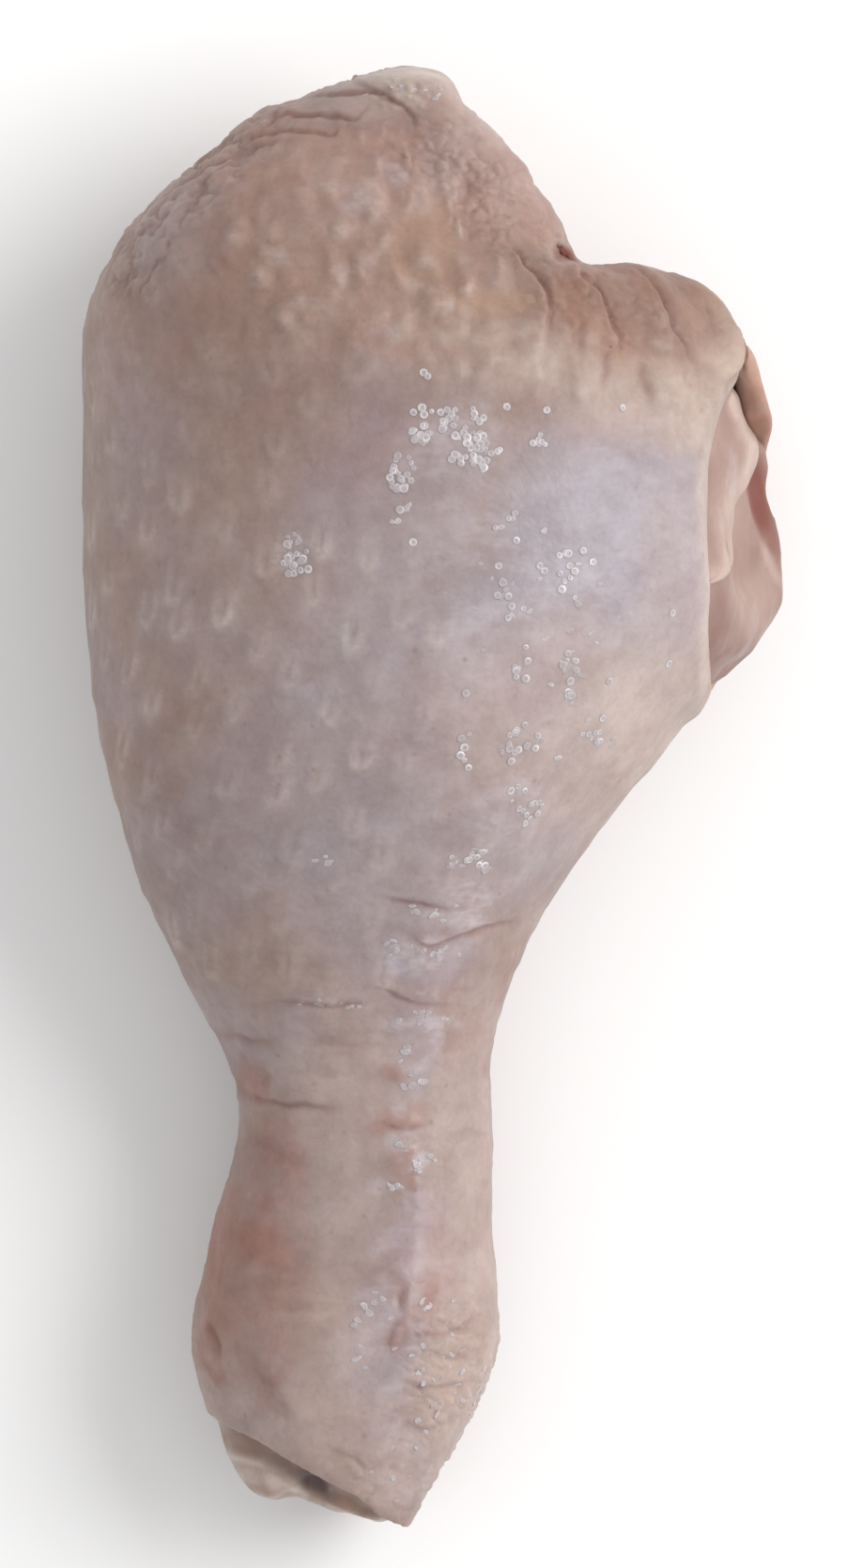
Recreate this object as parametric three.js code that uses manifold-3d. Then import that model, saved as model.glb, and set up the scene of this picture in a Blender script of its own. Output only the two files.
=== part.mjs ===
// A raw chicken drumstick lying on its back: a sleeve of skin round the meat, open at a cut beside
// the knee, with a fold of membrane in the cut, and the shin bone's joint showing at the thin end.
// Millimetres. +X is to the right, +Y from the hock to the knee, +Z up, and Z = 0 is the table.
import * as THREE from "three";
import { mergeVertices } from "three/addons/utils/BufferGeometryUtils.js";
import Module from "manifold-3d";

const wasm = await Module();
wasm.setup();

// Driving sizes. The other sizes are places on the leg and thicknesses of it.
const LEG_LENGTH = 140;
const KNEE_END = LEG_LENGTH / 2;
const HOCK_END = -LEG_LENGTH / 2;
const GAP = 0.3; // between pieces that touch
const ROUNDNESS = 2.15; // power of the leg's sections: 2 is an ellipse, more is squarer
const HALF_TURN = Math.PI;
const FAR = 100; // beyond the leg on any side

// Sections across the leg, from the hock to the knee: the skin's left and right edge, the right
// edge of the flesh in it, the underside and crown, the height at which the leg is widest, and the
// thickness of the skin with its fat. An underside below the table is pressed flat on it.
const SECTION_KEYS = ["y", "left", "right", "flesh", "under", "crown", "widest", "skin"];
const SECTIONS = [
  [HOCK_END - 4, -19.8, -5.0, -6.2, 4.6, 19.4, 12.0, 1.2],
  [HOCK_END, -20.4, -2.3, -3.5, 2.8, 21.2, 12.2, 1.2],
  [-66, -20.6, 0.1, -1.1, 1.4, 22.6, 12.4, 1.2],
  [-62, -21.1, 2.5, 1.3, 0.2, 24.2, 12.5, 1.2],
  [-57, -22.3, 4.8, 3.5, -0.6, 25.4, 12.7, 1.3],
  [-52, -23.2, 6.5, 5.2, -1.0, 26.2, 13.0, 1.3],
  [-46, -22.4, 5.9, 4.6, -0.5, 25.8, 13.0, 1.3],
  [-40, -21.2, 5.6, 4.2, 0.8, 25.0, 13.2, 1.4],
  [-35, -19.6, 5.7, 4.3, 2.2, 24.6, 13.6, 1.4],
  [-30, -18.8, 5.7, 4.2, 3.0, 25.0, 14.0, 1.5],
  [-25, -20.2, 5.6, 4.0, 3.2, 26.6, 14.8, 1.6],
  [-20, -22.8, 6.9, 5.2, 2.7, 29.2, 15.6, 1.7],
  [-15, -25.1, 8.9, 7.1, 1.7, 32.0, 16.3, 1.8],
  [-10, -27.5, 11.7, 9.9, 0.5, 35.0, 17.0, 1.8],
  [-5, -29.2, 15.2, 13.3, -0.4, 37.6, 17.6, 1.9],
  [0, -30.6, 18.8, 16.8, -1.0, 39.8, 17.8, 2.0],
  [5, -31.8, 23.3, 21.3, -1.4, 41.5, 17.2, 2.0],
  [10, -32.4, 26.7, 24.7, -1.6, 42.8, 16.0, 2.0],
  [14, -32.9, 30.3, 28.3, -1.7, 43.5, 14.8, 2.0],
  [18, -33.3, 33.2, 31.2, -1.7, 44.0, 14.2, 2.0],
  [22, -33.4, 33.4, 31.4, -1.7, 44.2, 14.0, 2.0],
  [28, -33.5, 32.5, 30.5, -1.7, 44.1, 14.0, 2.0],
  [34, -33.5, 32.3, 30.3, -1.5, 43.6, 14.2, 2.0],
  [40, -33.6, 31.5, 29.0, -1.1, 42.8, 15.0, 2.1],
  [44, -33.7, 30.4, 25.6, -0.6, 42.0, 16.2, 2.1],
  [47, -33.0, 28.3, 20.6, 0.0, 41.2, 17.4, 2.1],
  [49.6, -32.0, 25.0, 16.0, 0.6, 40.4, 18.4, 2.2],
  [51, -31.3, 19.6, 13.0, 1.2, 39.8, 19.0, 2.2],
  [52.4, -30.7, 13.4, 10.6, 1.8, 39.0, 19.6, 2.2],
  [55, -29.2, 12.5, 9.4, 3.2, 37.6, 20.2, 2.3],
  [58, -26.4, 10.8, 7.8, 5.4, 35.4, 20.4, 2.3],
  [61, -22.9, 8.2, 5.4, 8.0, 32.6, 20.4, 2.4],
  [64, -19.3, 5.9, 3.2, 11.2, 29.2, 20.2, 2.5],
  [66.4, -15.6, 4.1, 1.2, 14.0, 26.2, 20.0, 2.6],
  [68.6, -9.6, 2.3, -0.6, 16.8, 23.4, 19.8, 2.8],
  [KNEE_END, -4.6, 0.4, -1.6, 18.9, 20.7, 19.8, 3.0],
];
const SKIN_DETAIL = { from: HOCK_END - 4, to: KNEE_END, rowStep: 3, sides: 52 };
const FLESH_DETAIL = { from: HOCK_END - 4, to: KNEE_END - 6, rowStep: 6, sides: 28 };

// Folds of skin that stand on the leg. A row of points is x, y, the lift of the fold's middle over
// the leg, its half-width and its half-height.
const HOOD = [
  [-11.4, 65.6, -2.4, 1.8, 2.0],
  [-5.6, 67.0, -1.4, 2.6, 2.8],
  [-0.6, 65.6, -0.9, 3.6, 3.8],
  [3.2, 62.0, -0.4, 4.4, 4.4],
  [6.6, 58.2, -0.3, 4.6, 4.4],
  [9.2, 54.4, -0.9, 3.6, 3.6],
];
const LOBE_FOLDS = [
  [
    [9.6, 52.0, -2.6, 2.4, 2.4],
    [13.0, 48.4, -1.9, 3.8, 3.6],
    [14.0, 44.4, -1.8, 4.2, 3.5],
    [13.6, 40.4, -2.1, 4.0, 3.2],
    [12.0, 35.0, -2.6, 2.8, 2.2],
  ],
  [
    [15.6, 51.4, -2.6, 2.6, 2.6],
    [19.0, 47.8, -1.8, 3.9, 3.9],
    [20.6, 44.0, -1.6, 4.2, 3.8],
    [20.8, 39.8, -2.0, 4.1, 3.4],
    [19.2, 34.2, -2.6, 3.0, 2.3],
  ],
  [
    [21.0, 50.2, -2.2, 2.8, 2.8],
    [24.6, 47.2, -1.5, 3.9, 4.0],
    [26.4, 43.8, -1.4, 4.1, 4.0],
    [26.0, 39.6, -1.9, 3.9, 3.4],
    [23.8, 34.6, -2.6, 2.8, 2.3],
  ],
];
const WRINKLES = [
  [
    [-20.4, 60.6, -0.7, 0.8, 0.9],
    [-15.4, 60.6, -0.5, 1.2, 1.4],
    [-10.8, 62.0, -0.6, 1.2, 1.4],
    [-7.2, 63.2, -0.7, 0.8, 0.9],
  ],
  [
    [-23.4, 56.6, -0.7, 0.8, 0.9],
    [-17.6, 56.8, -0.5, 1.2, 1.4],
    [-11.6, 58.4, -0.5, 1.2, 1.4],
    [-6.6, 60.6, -0.7, 0.8, 0.9],
  ],
  [
    [-15.4, 63.8, -0.7, 0.8, 0.9],
    [-11.6, 64.4, -0.5, 1.1, 1.3],
    [-8.4, 65.2, -0.6, 1.1, 1.3],
    [-5.4, 65.0, -0.7, 0.8, 0.9],
  ],
];
const DIMPLE = { at: [12.6, 51.9, 24.0], radii: [1.7, 1.4, 5.0] }; // between hood and lobe

// The cut beside the knee: the upper skin's rim seen from above, from the lobe to the flap's end.
// The skin below the height of the flap stays.
const CUT_RIM = [
  [28.6, 46.0],
  [29.6, 42.2],
  [27.6, 38.5],
  [26.9, 35.3],
  [26.0, 31.6],
  [26.0, 24.0],
  [26.6, 18.0],
  [26.4, 9.9],
];
const FLAP_TOP = 13.4;
const HOLLOW = { at: [33.6, 25.5, 23.0], radii: [6.4, 15.5, 9.0] }; // scooped out of the meat there

// The fold of membrane in the cut: x, y, z, half-width and half-height, with a lump of fat on it.
const MEMBRANE = [
  [28.0, 39.4, 22.4, 1.8, 1.8],
  [29.2, 35.6, 20.2, 3.0, 2.4],
  [29.6, 31.2, 18.4, 3.2, 2.3],
  [28.8, 26.6, 17.2, 2.2, 1.8],
  [28.2, 21.4, 16.6, 1.8, 1.6],
  [28.2, 17.6, 16.6, 1.4, 1.2],
];
const FAT_LUMP = { at: [29.3, 37.2, 23.2], radii: [1.8, 2.4, 2.0] };

// The hock: the skin ends on a slanting line, and the joint's end stands out of it on the left.
const SKIN_END = { left: [-21.5, -59.2], right: [-2.2, -70.0] };
const JOINT_END = { left: [-19.9, -64.9], right: [-3.0, -69.8] };
const JOINT_ROUNDING = { at: [-10.0, -55.0, 12.2], radii: [13.2, 15.4, 13.0] };
const JOINT_TOP = -46; // the joint's swelling starts and the meat ends here
const PULLEY_GROOVE = { at: [-12.6, -69.4, 12.0], radii: [1.9, 2.6, 10.0] }; // between condyles
const LIGAMENT_PIT = { at: [-11.6, -66.0, 18.6], radii: [1.7, 1.7, 2.6] };

// The shin bone's shaft inside the meat, towards the knee: x, y, z, and its radius both ways.
const SHAFT = [
  [-8.5, -50, 12.6, 5.4, 5.4],
  [-6.4, -30, 14.2, 4.5, 4.5],
  [-3.4, 0, 18.4, 4.7, 4.7],
  [4.6, 30, 20.4, 5.8, 5.8],
  [8.6, 44, 20.8, 7.2, 7.2],
];

// A smooth line through the values at rising places. It doesn't overshoot between them.
function through(places, values) {
  const steepness = (i) => (values[i + 1] - values[i]) / (places[i + 1] - places[i]);
  const slopes = values.map((_, i) => {
    if (i === 0 || i === values.length - 1) return 0;
    const [before, after] = [steepness(i - 1), steepness(i)];
    return before * after <= 0 ? 0 : (2 * before * after) / (before + after);
  });
  return (at) => {
    const place = Math.min(Math.max(at, places[0]), places[places.length - 1]);
    let i = 0;
    while (i < places.length - 2 && place > places[i + 1]) i += 1;
    const width = places[i + 1] - places[i];
    const t = (place - places[i]) / width;
    const rise = values[i + 1] - values[i];
    const bend = slopes[i] * width - rise;
    const counter = rise - slopes[i + 1] * width;
    return values[i] + t * rise + t * (1 - t) * (bend * (1 - t) + counter * t);
  };
}

const alongLeg = (column) => through(SECTIONS.map((s) => s[0]), SECTIONS.map((s) => s[column]));
const leg = Object.fromEntries(SECTION_KEYS.map((key, column) => [key, alongLeg(column)]));

// One section across: a rounded ring between its edges, with its widest place at a height.
function ringAt(y, { left, right, under, crown, widest }, sides) {
  const [middle, half] = [(left + right) / 2, Math.max((right - left) / 2, GAP)];
  const [up, down] = [Math.max(crown - widest, GAP), Math.max(widest - under, GAP)];
  const soften = (value) => Math.sign(value) * Math.abs(value) ** (2 / ROUNDNESS);
  return Array.from({ length: sides }, (_, side) => {
    const turn = (-2 * HALF_TURN * side) / sides;
    const rise = soften(Math.sin(turn));
    const height = widest + (rise > 0 ? up : down) * rise;
    return new THREE.Vector3(middle + half * soften(Math.cos(turn)), y, height);
  });
}

const skinEdges = (y) => ({
  left: leg.left(y),
  right: leg.right(y),
  under: leg.under(y),
  crown: leg.crown(y),
  widest: leg.widest(y),
});

// The edges of the flesh, with extra room between it and the skin.
const fleshEdges = (room) => (y) => ({
  left: leg.left(y) + leg.skin(y) + room,
  right: leg.flesh(y) - room,
  under: leg.under(y) + leg.skin(y) + room,
  crown: leg.crown(y) - leg.skin(y) - room,
  widest: leg.widest(y),
});

// The height of the leg's upper side at a place seen from above.
function crownAt(x, y) {
  const middle = (leg.left(y) + leg.right(y)) / 2;
  const half = (leg.right(y) - leg.left(y)) / 2;
  const share = Math.min(Math.abs(x - middle) / half, 1);
  const rise = (1 - share ** ROUNDNESS) ** (1 / ROUNDNESS);
  return leg.widest(y) + (leg.crown(y) - leg.widest(y)) * rise;
}

// A closed body over rings with equal numbers of points, with a point in the middle of each end.
function loft(rings) {
  const sides = rings[0].length;
  const middleOf = (ring) => ring.reduce((sum, p) => sum.add(p), new THREE.Vector3()).divideScalar(sides);
  const points = [...rings.flat(), middleOf(rings[0]), middleOf(rings[rings.length - 1])];
  const [first, last] = [points.length - 2, points.length - 1];
  const end = (rings.length - 1) * sides;
  const faces = [];
  for (let side = 0; side < sides; side += 1) {
    const next = (side + 1) % sides;
    faces.push(first, next, side, last, end + side, end + next);
    for (let base = 0; base < end; base += sides) {
      faces.push(base + side, base + next, base + sides + next);
      faces.push(base + side, base + sides + next, base + sides + side);
    }
  }
  return new THREE.BufferGeometry().setFromPoints(points).setIndex(faces);
}

// The leg between two places along it, with rows at the sections and evenly between them.
function legBody(edges, { from, to, rowStep, sides }) {
  const stops = SECTIONS.map((s) => s[0]).filter((y) => y > from && y < to);
  const places = [from];
  for (const stop of [...stops, to]) {
    const start = places[places.length - 1];
    const rows = Math.ceil((stop - start) / rowStep);
    for (let row = 1; row <= rows; row += 1) places.push(start + ((stop - start) * row) / rows);
  }
  return solidOf(loft(places.map((y) => ringAt(y, edges(y), sides))));
}

// A rounded body along a path whose rows are x, y, z, half-width and half-height.
function foldBody(path, { steps, sides, extra = 0 }) {
  const curve = new THREE.CatmullRomCurve3(path.map(([x, y, z]) => new THREE.Vector3(x, y, z)));
  const places = path.map((_, i) => i / (path.length - 1));
  const widthAt = through(places, path.map((row) => row[3] + extra));
  const heightAt = through(places, path.map((row) => row[4] + extra));
  const rings = Array.from({ length: steps + 1 }, (_, step) => {
    const t = (1 - Math.cos((HALF_TURN * (step + 0.5)) / (steps + 1))) / 2;
    const rounding = Math.sqrt(1 - Math.abs(2 * t - 1) ** 4);
    const [centre, along] = [curve.getPoint(t), curve.getTangent(t)];
    const across = new THREE.Vector3(0, 0, 1).cross(along).normalize();
    const up = along.clone().cross(across).normalize();
    const [width, height] = [widthAt(t) * rounding, heightAt(t) * rounding];
    return Array.from({ length: sides }, (__, side) => {
      const turn = (2 * HALF_TURN * side) / sides;
      return centre
        .clone()
        .addScaledVector(across, width * Math.cos(turn))
        .addScaledVector(up, height * Math.sin(turn));
    });
  });
  return solidOf(loft(rings));
}

// A fold that stands on the leg, where z in its rows is a lift over the leg.
function foldOnLeg(path, detail) {
  const standing = path.map(([x, y, lift, ...size]) => [x, y, crownAt(x, y) + lift, ...size]);
  return foldBody(standing, detail);
}

function ellipsoid({ at, radii }, sides = 20) {
  const ball = new THREE.SphereGeometry(1, sides, sides / 2);
  return solidOf(ball.scale(...radii).translate(...at));
}

// Everything on the hock's side of a slanting upright plane, through two places seen from above.
function beyond({ left, right }) {
  const slant = Math.atan2(right[1] - left[1], right[0] - left[0]);
  const block = new THREE.BoxGeometry(2 * FAR, FAR, 2 * FAR).translate(0, -FAR / 2, 0);
  return solidOf(block.rotateZ(slant).translate(left[0], left[1], 0));
}

const hockwards = (y) => beyond({ left: [0, y], right: [1, y] });

function below(height) {
  return solidOf(new THREE.BoxGeometry(2 * FAR, 2 * FAR, FAR).translate(0, 0, height - FAR / 2));
}

// The space of the cut beside the knee, drawn in by margin from the skin round it.
function cutSpace(margin) {
  const last = CUT_RIM.length - 1;
  const rim = CUT_RIM.map(([x, y], i) => {
    const shift = i === 0 ? -margin : i === last ? margin : 0;
    return new THREE.Vector2(x + margin, y + shift);
  });
  const outer = [new THREE.Vector2(FAR, rim[last].y), new THREE.Vector2(FAR, rim[0].y)];
  const space = new THREE.ExtrudeGeometry(new THREE.Shape([...rim, ...outer]), {
    depth: FAR,
    bevelEnabled: false,
  });
  return solidOf(space.translate(0, 0, FLAP_TOP + margin));
}

function solidOf(geometry) {
  const bare = geometry.index ? geometry.toNonIndexed() : geometry.clone();
  bare.deleteAttribute("normal");
  bare.deleteAttribute("uv");
  const merged = mergeVertices(bare, 1e-3);
  const corners = [];
  for (let i = 0; i < merged.index.count; i += 3) {
    const [a, b, c] = [0, 1, 2].map((j) => merged.index.getX(i + j));
    if (a !== b && b !== c && c !== a) corners.push(a, b, c);
  }
  const solid = new wasm.Manifold(
    new wasm.Mesh({
      numProp: 3,
      vertProperties: merged.getAttribute("position").array,
      triVerts: new Uint32Array(corners),
    }),
  );
  if (solid.volume() <= 0) throw new Error("a body is empty or inside out");
  return solid;
}

function geometryOf(solid) {
  const { numProp, vertProperties, triVerts } = solid.getMesh();
  const places = new Float32Array((vertProperties.length / numProp) * 3);
  for (let i = 0; i < places.length / 3; i += 1) {
    places.set(vertProperties.subarray(i * numProp, i * numProp + 3), i * 3);
  }
  return new THREE.BufferGeometry()
    .setAttribute("position", new THREE.BufferAttribute(places, 3))
    .setIndex(new THREE.BufferAttribute(triVerts, 1));
}

function makeSkin() {
  let skin = legBody(skinEdges, SKIN_DETAIL).add(foldOnLeg(HOOD, { steps: 14, sides: 14 }));
  for (const fold of LOBE_FOLDS) skin = skin.add(foldOnLeg(fold, { steps: 12, sides: 12 }));
  for (const wrinkle of WRINKLES) skin = skin.add(foldOnLeg(wrinkle, { steps: 9, sides: 8 }));
  const cavity = legBody(fleshEdges(0), FLESH_DETAIL).subtract(below(leg.skin(0)));
  return skin
    .subtract(cavity)
    .subtract(cutSpace(0))
    .subtract(ellipsoid(DIMPLE, 12))
    .subtract(beyond(SKIN_END))
    .subtract(below(0));
}

// All that the skin holds, clear of it.
function makeCore() {
  return legBody(fleshEdges(GAP), FLESH_DETAIL).subtract(below(leg.skin(0) + GAP));
}

function makeShaft(extra) {
  return foldBody(SHAFT, { steps: 16, sides: 14, extra });
}

function makeMeat(core) {
  return core
    .subtract(hockwards(JOINT_TOP + GAP))
    .subtract(makeShaft(GAP))
    .subtract(ellipsoid(HOLLOW));
}

function makeBone(core) {
  return core
    .intersect(hockwards(JOINT_TOP))
    .intersect(ellipsoid(JOINT_ROUNDING, 28))
    .subtract(beyond(JOINT_END))
    .subtract(ellipsoid(PULLEY_GROOVE, 12))
    .subtract(ellipsoid(LIGAMENT_PIT, 12))
    .add(makeShaft(0));
}

function makeMembrane(meat) {
  return foldBody(MEMBRANE, { steps: 14, sides: 12 })
    .add(ellipsoid(FAT_LUMP, 12))
    .intersect(cutSpace(GAP))
    .subtract(meat);
}

const core = makeCore();
const meat = makeMeat(core);
const pieces = [
  { name: "skin", solid: makeSkin(), color: 0xb8a09a, roughness: 0.35 },
  { name: "meat", solid: meat, color: 0xb47f78, roughness: 0.4 },
  { name: "shin_bone", solid: makeBone(core), color: 0xb3a69a, roughness: 0.35 },
  { name: "inner_fold", solid: makeMembrane(meat), color: 0xc4aaa2, roughness: 0.3 },
];

const pieceGroup = new THREE.Group();
for (const { name, solid, color, roughness } of pieces) {
  const material = new THREE.MeshStandardMaterial({ color, roughness, metalness: 0 });
  const mesh = new THREE.Mesh(geometryOf(solid), material);
  mesh.name = name;
  pieceGroup.add(mesh);
}

// The origin is under the middle of the whole.
const middle = new THREE.Box3().setFromObject(pieceGroup).getCenter(new THREE.Vector3());
pieceGroup.position.set(-middle.x, -middle.y, 0);
const drumstick = new THREE.Group().add(pieceGroup);

export default drumstick;
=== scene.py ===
"""A raw chicken drumstick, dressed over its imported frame.

The skin, the flesh in the cut, the joint at the hock and the fold of membrane are each sculpted
from a fine remesh of their own solid. Places on the leg are read off the photo, which looks
straight down, and are turned into the frame's metres.
"""

from __future__ import annotations

import logging
import math
import random
from dataclasses import dataclass, field
from enum import Enum
from functools import lru_cache

import bpy
import numpy as np
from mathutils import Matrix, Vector
from mathutils.bvhtree import BVHTree

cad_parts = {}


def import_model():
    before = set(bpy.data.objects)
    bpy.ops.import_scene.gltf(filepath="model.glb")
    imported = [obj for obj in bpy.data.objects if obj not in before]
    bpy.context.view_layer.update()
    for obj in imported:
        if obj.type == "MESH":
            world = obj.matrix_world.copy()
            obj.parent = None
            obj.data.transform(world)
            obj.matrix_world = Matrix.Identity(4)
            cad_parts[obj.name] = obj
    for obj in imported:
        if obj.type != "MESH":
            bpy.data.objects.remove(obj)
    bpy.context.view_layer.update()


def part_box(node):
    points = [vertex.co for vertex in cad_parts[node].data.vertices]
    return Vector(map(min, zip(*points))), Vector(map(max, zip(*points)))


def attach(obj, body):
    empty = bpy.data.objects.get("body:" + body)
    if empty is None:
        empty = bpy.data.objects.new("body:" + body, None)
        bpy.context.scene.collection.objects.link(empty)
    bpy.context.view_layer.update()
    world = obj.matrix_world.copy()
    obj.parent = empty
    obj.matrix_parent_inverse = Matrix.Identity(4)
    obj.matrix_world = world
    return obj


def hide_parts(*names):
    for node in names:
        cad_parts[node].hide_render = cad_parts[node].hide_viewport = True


LOG = logging.getLogger("drumstick")

MM = 0.001
BODY = "root"

Array = np.ndarray
Rgb = tuple[float, float, float]
Pixel = tuple[float, float]


class Side(Enum):
    """The side of a line, seen along its points, on which the skin stands higher."""

    LEFT = 1.0
    RIGHT = -1.0
    NEITHER = 0.0


class Blend(Enum):
    """How a colour is laid over the one below it."""

    MIX = "MIX"
    MULTIPLY = "MULTIPLY"
    SOFT = "SOFT_LIGHT"


@dataclass(frozen=True)
class PhotoFrame:
    """The photo's pixels as places on the leg, which it shows from straight above.

    Attributes:
        centre: The pixel over the frame's origin.
        leg: The length of the leg in the photo, in pixels.
        size: The photo's width and height, in pixels.
    """

    centre: Pixel = (461.0, 849.0)
    leg: float = 1558.0
    size: tuple[int, int] = (902, 1670)

    @lru_cache(maxsize=1)
    def pitch(self) -> float:
        """Metres for each pixel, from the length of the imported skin."""
        low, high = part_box("skin")
        return (high.y - low.y) / self.leg

    def place(self, pixels: list[Pixel] | tuple[Pixel, ...]) -> Array:
        """Turns pixels into x and y in the frame.

        Args:
            pixels: Pixels, right and down from the photo's upper left corner.

        Returns:
            An array of x and y in metres.
        """
        offset = np.array(pixels, float) - np.array(self.centre)
        return offset * np.array([1.0, -1.0]) * self.pitch()

    def pixels(self, points: Array) -> Array:
        """Turns places in the frame into pixels.

        Args:
            points: Rows of x, y and z in metres.

        Returns:
            An array of pixels, right and down.
        """
        return points[:, :2] * np.array([1.0, -1.0]) / self.pitch() + np.array(self.centre)


PHOTO = PhotoFrame()


@dataclass(frozen=True)
class Crease:
    """A line where the skin folds in, drawn over the photo.

    Attributes:
        path: Pixels along the line.
        depth: How deep the groove is, in metres.
        width: The groove's half-width, in pixels.
        step: How far the fold on one side stands over the other, in metres.
        side: The side that stands higher.
        reach: How far from the line the raised fold comes down again, in pixels.
        tint: How strongly the groove is darkened with painted shade.
        shade: How strong the painted shade is on the lower side beside the step.
        ragged: How far the line strays from its path.
    """

    path: tuple[Pixel, ...]
    depth: float = 0.4 * MM
    width: float = 5.0
    step: float = 0.0
    side: Side = Side.NEITHER
    reach: float = 26.0
    tint: float = 1.0
    shade: float = 0.0
    ragged: float = 1.0


@dataclass(frozen=True)
class Patch:
    """A soft-edged oval place on the leg, drawn over the photo.

    Attributes:
        centre: The middle, in pixels.
        radii: Half its width and height before it is turned, in pixels.
        turn: How far it is turned against the clock, in degrees.
        strength: Its value in the middle.
        softness: The share of its radius over which it fades.
    """

    centre: Pixel
    radii: Pixel
    turn: float = 0.0
    strength: float = 1.0
    softness: float = 0.8

    def mask(self, pixels: Array) -> Array:
        """How strongly each pixel lies in the patch.

        Args:
            pixels: Rows of pixels.

        Returns:
            Values from 0 outside to the patch's strength.
        """
        turn = math.radians(self.turn)
        right, down = (pixels - np.array(self.centre)).T
        across = (right * math.cos(turn) - down * math.sin(turn)) / self.radii[0]
        along = (right * math.sin(turn) + down * math.cos(turn)) / self.radii[1]
        edge = 1.0 + self.softness / 2
        return self.strength * smoothstep(edge, edge - self.softness, np.hypot(across, along))


@dataclass(frozen=True)
class Nudge:
    """A soft shift of all that lies in a patch, to bring an outline to where the photo has it.

    Attributes:
        patch: Where things move.
        shift: How far its middle moves, in pixels.
    """

    patch: Patch
    shift: Pixel


NUDGES = (
    Nudge(Patch((455, 82), (44, 20), -10, softness=1.2), (4.0, -5.0)),
    Nudge(Patch((522, 134), (54, 32), -50, softness=1.2), (-8.0, 7.0)),
    Nudge(Patch((574, 190), (40, 30), -50, softness=1.2), (-3.5, 2.0)),
    Nudge(Patch((600, 230), (28, 30), 0, softness=1.2), (4.0, 0.0)),
    Nudge(Patch((616, 250), (34, 34), 0, softness=1.2), (-1.0, 7.0)),
    Nudge(Patch((636, 258), (44, 30), 0, softness=1.2), (-1.0, 6.0)),
    Nudge(Patch((680, 276), (40, 26), 0, softness=1.2), (0.0, 4.0)),
    Nudge(Patch((762, 304), (52, 38), -30, softness=1.2), (-6.0, 11.0)),
    Nudge(Patch((190, 180), (60, 96), -45, softness=1.2), (3.5, 2.0)),
    Nudge(Patch((266, 124), (40, 22), 30, softness=1.2), (0.0, -5.0)),
    Nudge(Patch((330, 100), (36, 16), 20, softness=1.2), (0.0, 2.0)),
    Nudge(Patch((92, 520), (40, 330), 0, softness=1.2), (-4.0, 0.0)),
    Nudge(Patch((640, 870), (70, 240), -32, softness=1.2), (-5.0, -2.0)),
    Nudge(Patch((806, 400), (34, 50), 0, softness=1.2), (9.0, 1.0)),
    Nudge(Patch((814, 470), (22, 34), 0, softness=1.2), (7.0, 0.0)),
    Nudge(Patch((784, 708), (38, 34), 0, softness=1.2), (4.0, 5.0)),
    Nudge(Patch((752, 740), (34, 26), 0, softness=1.2), (4.0, 7.0)),
    Nudge(Patch((206, 1445), (44, 60), 0, softness=1.2), (-7.0, 0.0)),
    Nudge(Patch((422, 1618), (34, 26), 0, softness=1.2), (-2.0, 9.0)),
    Nudge(Patch((280, 1592), (26, 20), 0, softness=1.2), (0.0, 14.0)),
    Nudge(Patch((340, 1602), (34, 16), 0, softness=1.2), (0.0, 6.0)),
    Nudge(Patch((236, 1530), (26, 30), 0, softness=1.2), (-9.0, 0.0)),
)


def smoothstep(low: float, high: float, values: Array) -> Array:
    """Goes from 0 at low to 1 at high without corners, also where high is the lesser."""
    share = np.clip((values - low) / (high - low), 0.0, 1.0)
    return share * share * (3.0 - 2.0 * share)


def bell(values: Array, width: float) -> Array:
    """A soft bump that is 1 at 0 and fades within about twice the width."""
    return np.exp(-((values / width) ** 2))


def in_patches(pixels: Array, patches: tuple[Patch, ...]) -> Array:
    """The strongest of the patches at each pixel."""
    return np.max([patch.mask(pixels) for patch in patches], axis=0)


def hashed(squares: Array, seed: int) -> Array:
    """A repeatable random number from 0 to 1 for each row of whole numbers.

    Args:
        squares: Rows of two or three whole numbers.
        seed: Chooses the set of random numbers.

    Returns:
        One number for each row.
    """
    primes = np.array([73856093, 19349663, 83492791], np.int64)[: squares.shape[-1]]
    mixed = (squares.astype(np.int64) * primes).sum(-1) + seed * 40503
    mixed = ((mixed ^ (mixed >> 13)) & 0x7FFFFFFF) * 1103515245 + 12345
    mixed = ((mixed ^ (mixed >> 16)) & 0x7FFFFFFF) * 69069 + 1
    return ((mixed >> 8) & 0xFFFFF) / float(0xFFFFF)


def noise(points: Array, size: float, seed: int) -> Array:
    """Smooth noise from -1 to 1.

    Args:
        points: Rows of x, y and z.
        size: The distance between the noise's humps.
        seed: Chooses the noise.

    Returns:
        One value for each row.
    """
    scaled = points / size
    base = np.floor(scaled).astype(np.int64)
    share = scaled - base
    share = share * share * (3.0 - 2.0 * share)
    total = np.zeros(len(points))
    for corner in np.ndindex(2, 2, 2):
        weight = np.prod(np.where(np.array(corner) == 1, share, 1.0 - share), axis=1)
        total += weight * hashed(base + np.array(corner), seed)
    return 2.0 * total - 1.0


def layered_noise(points: Array, size: float, seed: int, layers: int = 3) -> Array:
    """Noise with ever finer and weaker layers, from about -1 to 1."""
    parts = [noise(points, size / 2**k, seed + 17 * k) / 2**k for k in range(layers)]
    return sum(parts) / (2.0 - 2.0 ** (1 - layers))


@dataclass(frozen=True)
class Cells:
    """Uneven cells over a plane, one for each square of its grid.

    Attributes:
        near: The distance to the cell's middle, in squares.
        border: How much further the next cell's middle is.
        across: The offset from the cell's middle across the grid's columns.
        along: The same along the columns.
        chance: The cell's own random number.
    """

    near: Array
    border: Array
    across: Array
    along: Array
    chance: Array


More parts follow.
